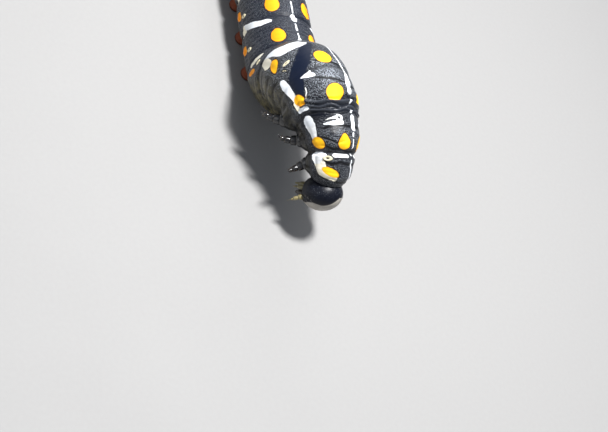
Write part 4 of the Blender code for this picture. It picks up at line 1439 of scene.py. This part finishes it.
def leg_path(name, flip):
    """The points, radii and joint shares of a true leg, from inside the body to the claw's tip, then the
    direction across it, and the start, heading, length and radius of each of its articles."""
    along, root, size = leg_root(name, flip)
    lean = LEGS[name][2]
    axes = frame_at(along)[1]
    out = outward(along, (LEG_ANGLE + LEG_SPLAY) * flip)
    heading = out * math.cos(math.radians(lean)) + axes[:, 0] * math.sin(math.radians(lean))
    hinge = unit(axes[:, 0] * 0.9 + axes[:, 2] * 0.35) * flip
    path, radii, joints = [root - heading * LEG_ROOT_DEPTH], [LEG_ARTICLES[0][1] * size], [1.0]
    place = root
    headings = []
    for length, radius, bend in LEG_ARTICLES:
        heading = turn(hinge, -bend) @ heading
        headings.append((place, heading, length * size, radius * size))
        for share, swell in LEG_PROFILE:
            path.append(place + heading * length * size * share)
            radii.append(radius * size * swell)
            joints.append(1.0 if share < 0.03 or share > 0.95 else 0.0)
        place = place + heading * length * size
    for share in np.linspace(0.1, 1, 8):
        heading = turn(hinge, -CLAW_HOOK / 8) @ heading
        path.append(place + heading * CLAW_LENGTH * size * share)
        radii.append((CLAW_ROOT * (1 - share) + CLAW_TIP * share) * size)
        joints.append(0.0)
    return path, radii, joints, axes[:, 0], headings


def build_legs(finish, bristle_finish):
    bristles = []
    sides = 26
    for name in LEGS:
        for word, flip in (("right", 1), ("left", -1)):
            path, radii, joints, across, headings = leg_path(name, flip)
            points, faces = swept(path, radii, across, sides)
            title = f"leg_{name[-1]}_{word}"
            data = new_mesh(title, points, faces)
            set_values(data, "joint", np.append(np.repeat(joints, sides), [1, 0]))
            new_piece(f"{title}_joints", data, finish, [title])
            for place, heading, length, radius in headings[1:]:
                side = unit(across - heading * np.dot(across, heading))
                other = np.cross(heading, side)
                for k in range(4):
                    out = side * math.cos(1.2 + 1.6 * k) + other * math.sin(1.2 + 1.6 * k)
                    start = place + heading * length * (0.45 + 0.1 * k) + out * radius * 0.9
                    bristles.append(cone(start, unit(out + heading * 1.2), 0.45, 0.022, side, sides=5))
    join_piece("leg_bristles", bristles, bristle_finish)


def build_crochets(finish):
    """Small brown hooks round the inner half of each sole."""
    hooks = []
    count = 26
    for _, _, sole, profile, flip in FEET:
        radius = profile[-1][1]
        for k in range(count):
            turned = math.pi * (0.06 + 0.88 * k / (count - 1))
            out = np.array([math.cos(turned), math.sin(turned) * flip, 0])
            start = sole + out * radius * np.array([1, FOOT_FLATNESS, 1]) + [0, 0, 0.3 + 0.06 * (k % 2)]
            heading = unit(out * 0.8 + np.array([0, 0, -0.35]))
            across = np.array([-out[1], out[0], 0])
            hooks.append(cone(start - heading * 0.12, heading, 0.34, 0.045, across, sides=6))
    points, faces = joined(hooks)
    points[:, 2] = np.maximum(points[:, 2], 0.02)
    new_piece("crochets", new_mesh("crochets", points, faces), finish)


def build_horn(finish):
    along = place_on("abdomen_8", HORN_PLACE)
    axes = frame_at(along)[1]
    heading = turn(axes[:, 1], -HORN_LEAN) @ axes[:, 2]
    place = skin_point(along, 0) - heading * HORN_ROOT_DEPTH
    rings, sides = 70, 32
    path, radii, tips = [], [], []
    for ring in range(rings):
        share = ring / (rings - 1)
        path.append(place)
        close = math.sqrt(max(1 - ramp(share, 0.97, 1) ** 2, 0.05))
        radii.append((HORN_ROOT * (1 - share) ** 0.9 + HORN_TIP * share) * close)
        tips.append(ramp(share, *HORN_BLACK))
        heading = turn(axes[:, 1], -HORN_CURL / (rings - 1)) @ heading
        place = place + heading * HORN_LENGTH / (rings - 1)
    points, faces = swept(path, radii, axes[:, 1], sides)
    grains = noise(points[:-2], GRAIN_SIZE)
    centres = np.repeat(np.array(path), sides, axis=0)
    away = points[:-2] - centres
    away = away / np.linalg.norm(away, axis=1)[:, None]
    points[:-2] += away * (GRAIN_HEIGHT * np.clip(grains, -0.2, 1))[:, None]
    data = new_mesh("horn", points, faces)
    set_values(data, "tip", np.append(np.repeat(tips, sides), [0, 1]))
    new_piece("horn_grained", data, finish, ["horn"])


def build_spiracles(finish):
    """Raised cream ovals, each with a sunken dark slit."""
    parts, slits = [], []
    turned = 2 * np.pi * np.arange(28) / 28
    for name, (share, angle, tall, wide) in SPIRACLES.items():
        along = place_on(name, share)
        for flip in (1, -1):
            out = outward(along, angle * flip)
            point = skin_point(along, angle * flip)
            across = np.cross(frame_at(along)[1][:, 0], out)
            other = np.cross(out, across)
            loops = []
            for size, rise in SPIRACLE_PROFILE:
                ring = np.outer(np.cos(turned) * tall, across) + np.outer(np.sin(turned) * wide, other)
                loops.append(point + out * rise + ring * size)
                slits.append(np.full(len(turned), 1.0 if size < 0.3 else 0.0))
            parts.append(closed_rings(loops, loops[0].mean(axis=0), loops[-1].mean(axis=0)))
            slits.append(np.array([0.0, 1.0]))
    piece = join_piece("spiracles", parts, finish)
    set_values(piece.data, "slit", np.concatenate(slits))


# Floor, light and camera

def build_stage():
    size = 3.0
    corners = [(-size, -size, 0), (size, -size, 0), (size, size, 0), (-size, size, 0)]
    data = new_mesh("floor", corners, [(0, 1, 2, 3)], 1.0)
    obj = bpy.data.objects.new("floor", data)
    bpy.context.scene.collection.objects.link(obj)
    data.materials.append(hard_finish("pale floor", (0.3, 0.295, 0.29), (0.32, 0.315, 0.31), 0.65, 40.0))


def add_light(name, place, size, power, target=(30, 0, 8)):
    light = bpy.data.lights.new(name, "AREA")
    light.size = size * MM
    light.energy = power
    obj = bpy.data.objects.new(name, light)
    bpy.context.scene.collection.objects.link(obj)
    obj.location = Vector(place) * MM
    aim = Vector(place) - Vector(target)
    obj.rotation_euler = aim.to_track_quat("Z", "Y").to_euler()


def build_light():
    world = bpy.data.worlds.new("studio")
    world.use_nodes = True
    world.node_tree.nodes["Background"].inputs["Color"].default_value = (0.8, 0.87, 1.0, 1)
    world.node_tree.nodes["Background"].inputs["Strength"].default_value = 0.3
    bpy.context.scene.world = world
    bpy.context.scene.view_settings.view_transform = "Standard"
    add_light("key", (10, 15, 285), 45, 1.7)
    add_light("fill", (60, -260, 120), 200, 0.12)
    add_light("back", (-220, 60, 160), 160, 0.25)


def build_camera():
    azimuth, elevation = math.radians(VIEW_AZIMUTH), math.radians(VIEW_ELEVATION)
    back = Vector((math.cos(azimuth) * math.cos(elevation), math.sin(azimuth) * math.cos(elevation),
                   math.sin(elevation)))
    camera = bpy.data.objects.new("camera", bpy.data.cameras.new("camera"))
    camera.data.sensor_width = SENSOR
    camera.data.sensor_fit = "HORIZONTAL"
    camera.data.lens = LENS
    camera.data.clip_start = 0.001
    camera.location = (Vector(AIM) + back * VIEW_DISTANCE) * MM
    level = back.to_track_quat("Z", "Y").to_matrix()
    camera.rotation_euler = (level @ Matrix.Rotation(math.radians(VIEW_ROLL), 3, "Z")).to_euler()
    bpy.context.scene.collection.objects.link(camera)
    bpy.context.scene.camera = camera


def main():
    build_skin(skin_finish())
    eye = hard_finish("eye", (0.004, 0.004, 0.005), (0.012, 0.01, 0.01), 0.06, specular_ior_level=0.7)
    pale = hard_finish("mouthpart", (0.085, 0.075, 0.03), (0.2, 0.17, 0.07), 0.24, coat_weight=0.3)
    dark = hard_finish("jaw", (0.008, 0.006, 0.005), (0.03, 0.018, 0.01), 0.2, coat_weight=0.3)
    hook = hard_finish("hook", (0.06, 0.028, 0.012), (0.1, 0.05, 0.02), 0.25)
    feeler = hard_finish("feeler", (0.14, 0.115, 0.045), (0.3, 0.25, 0.12), 0.25, coat_weight=0.3)
    build_head(head_finish(), eye)
    build_mouthparts(pale, dark)
    build_antennae(feeler)
    build_legs(leg_finish(), hook)
    build_crochets(hook)
    build_horn(horn_finish())
    build_spiracles(spiracle_finish())
    build_stage()
    build_light()
    build_camera()


main()
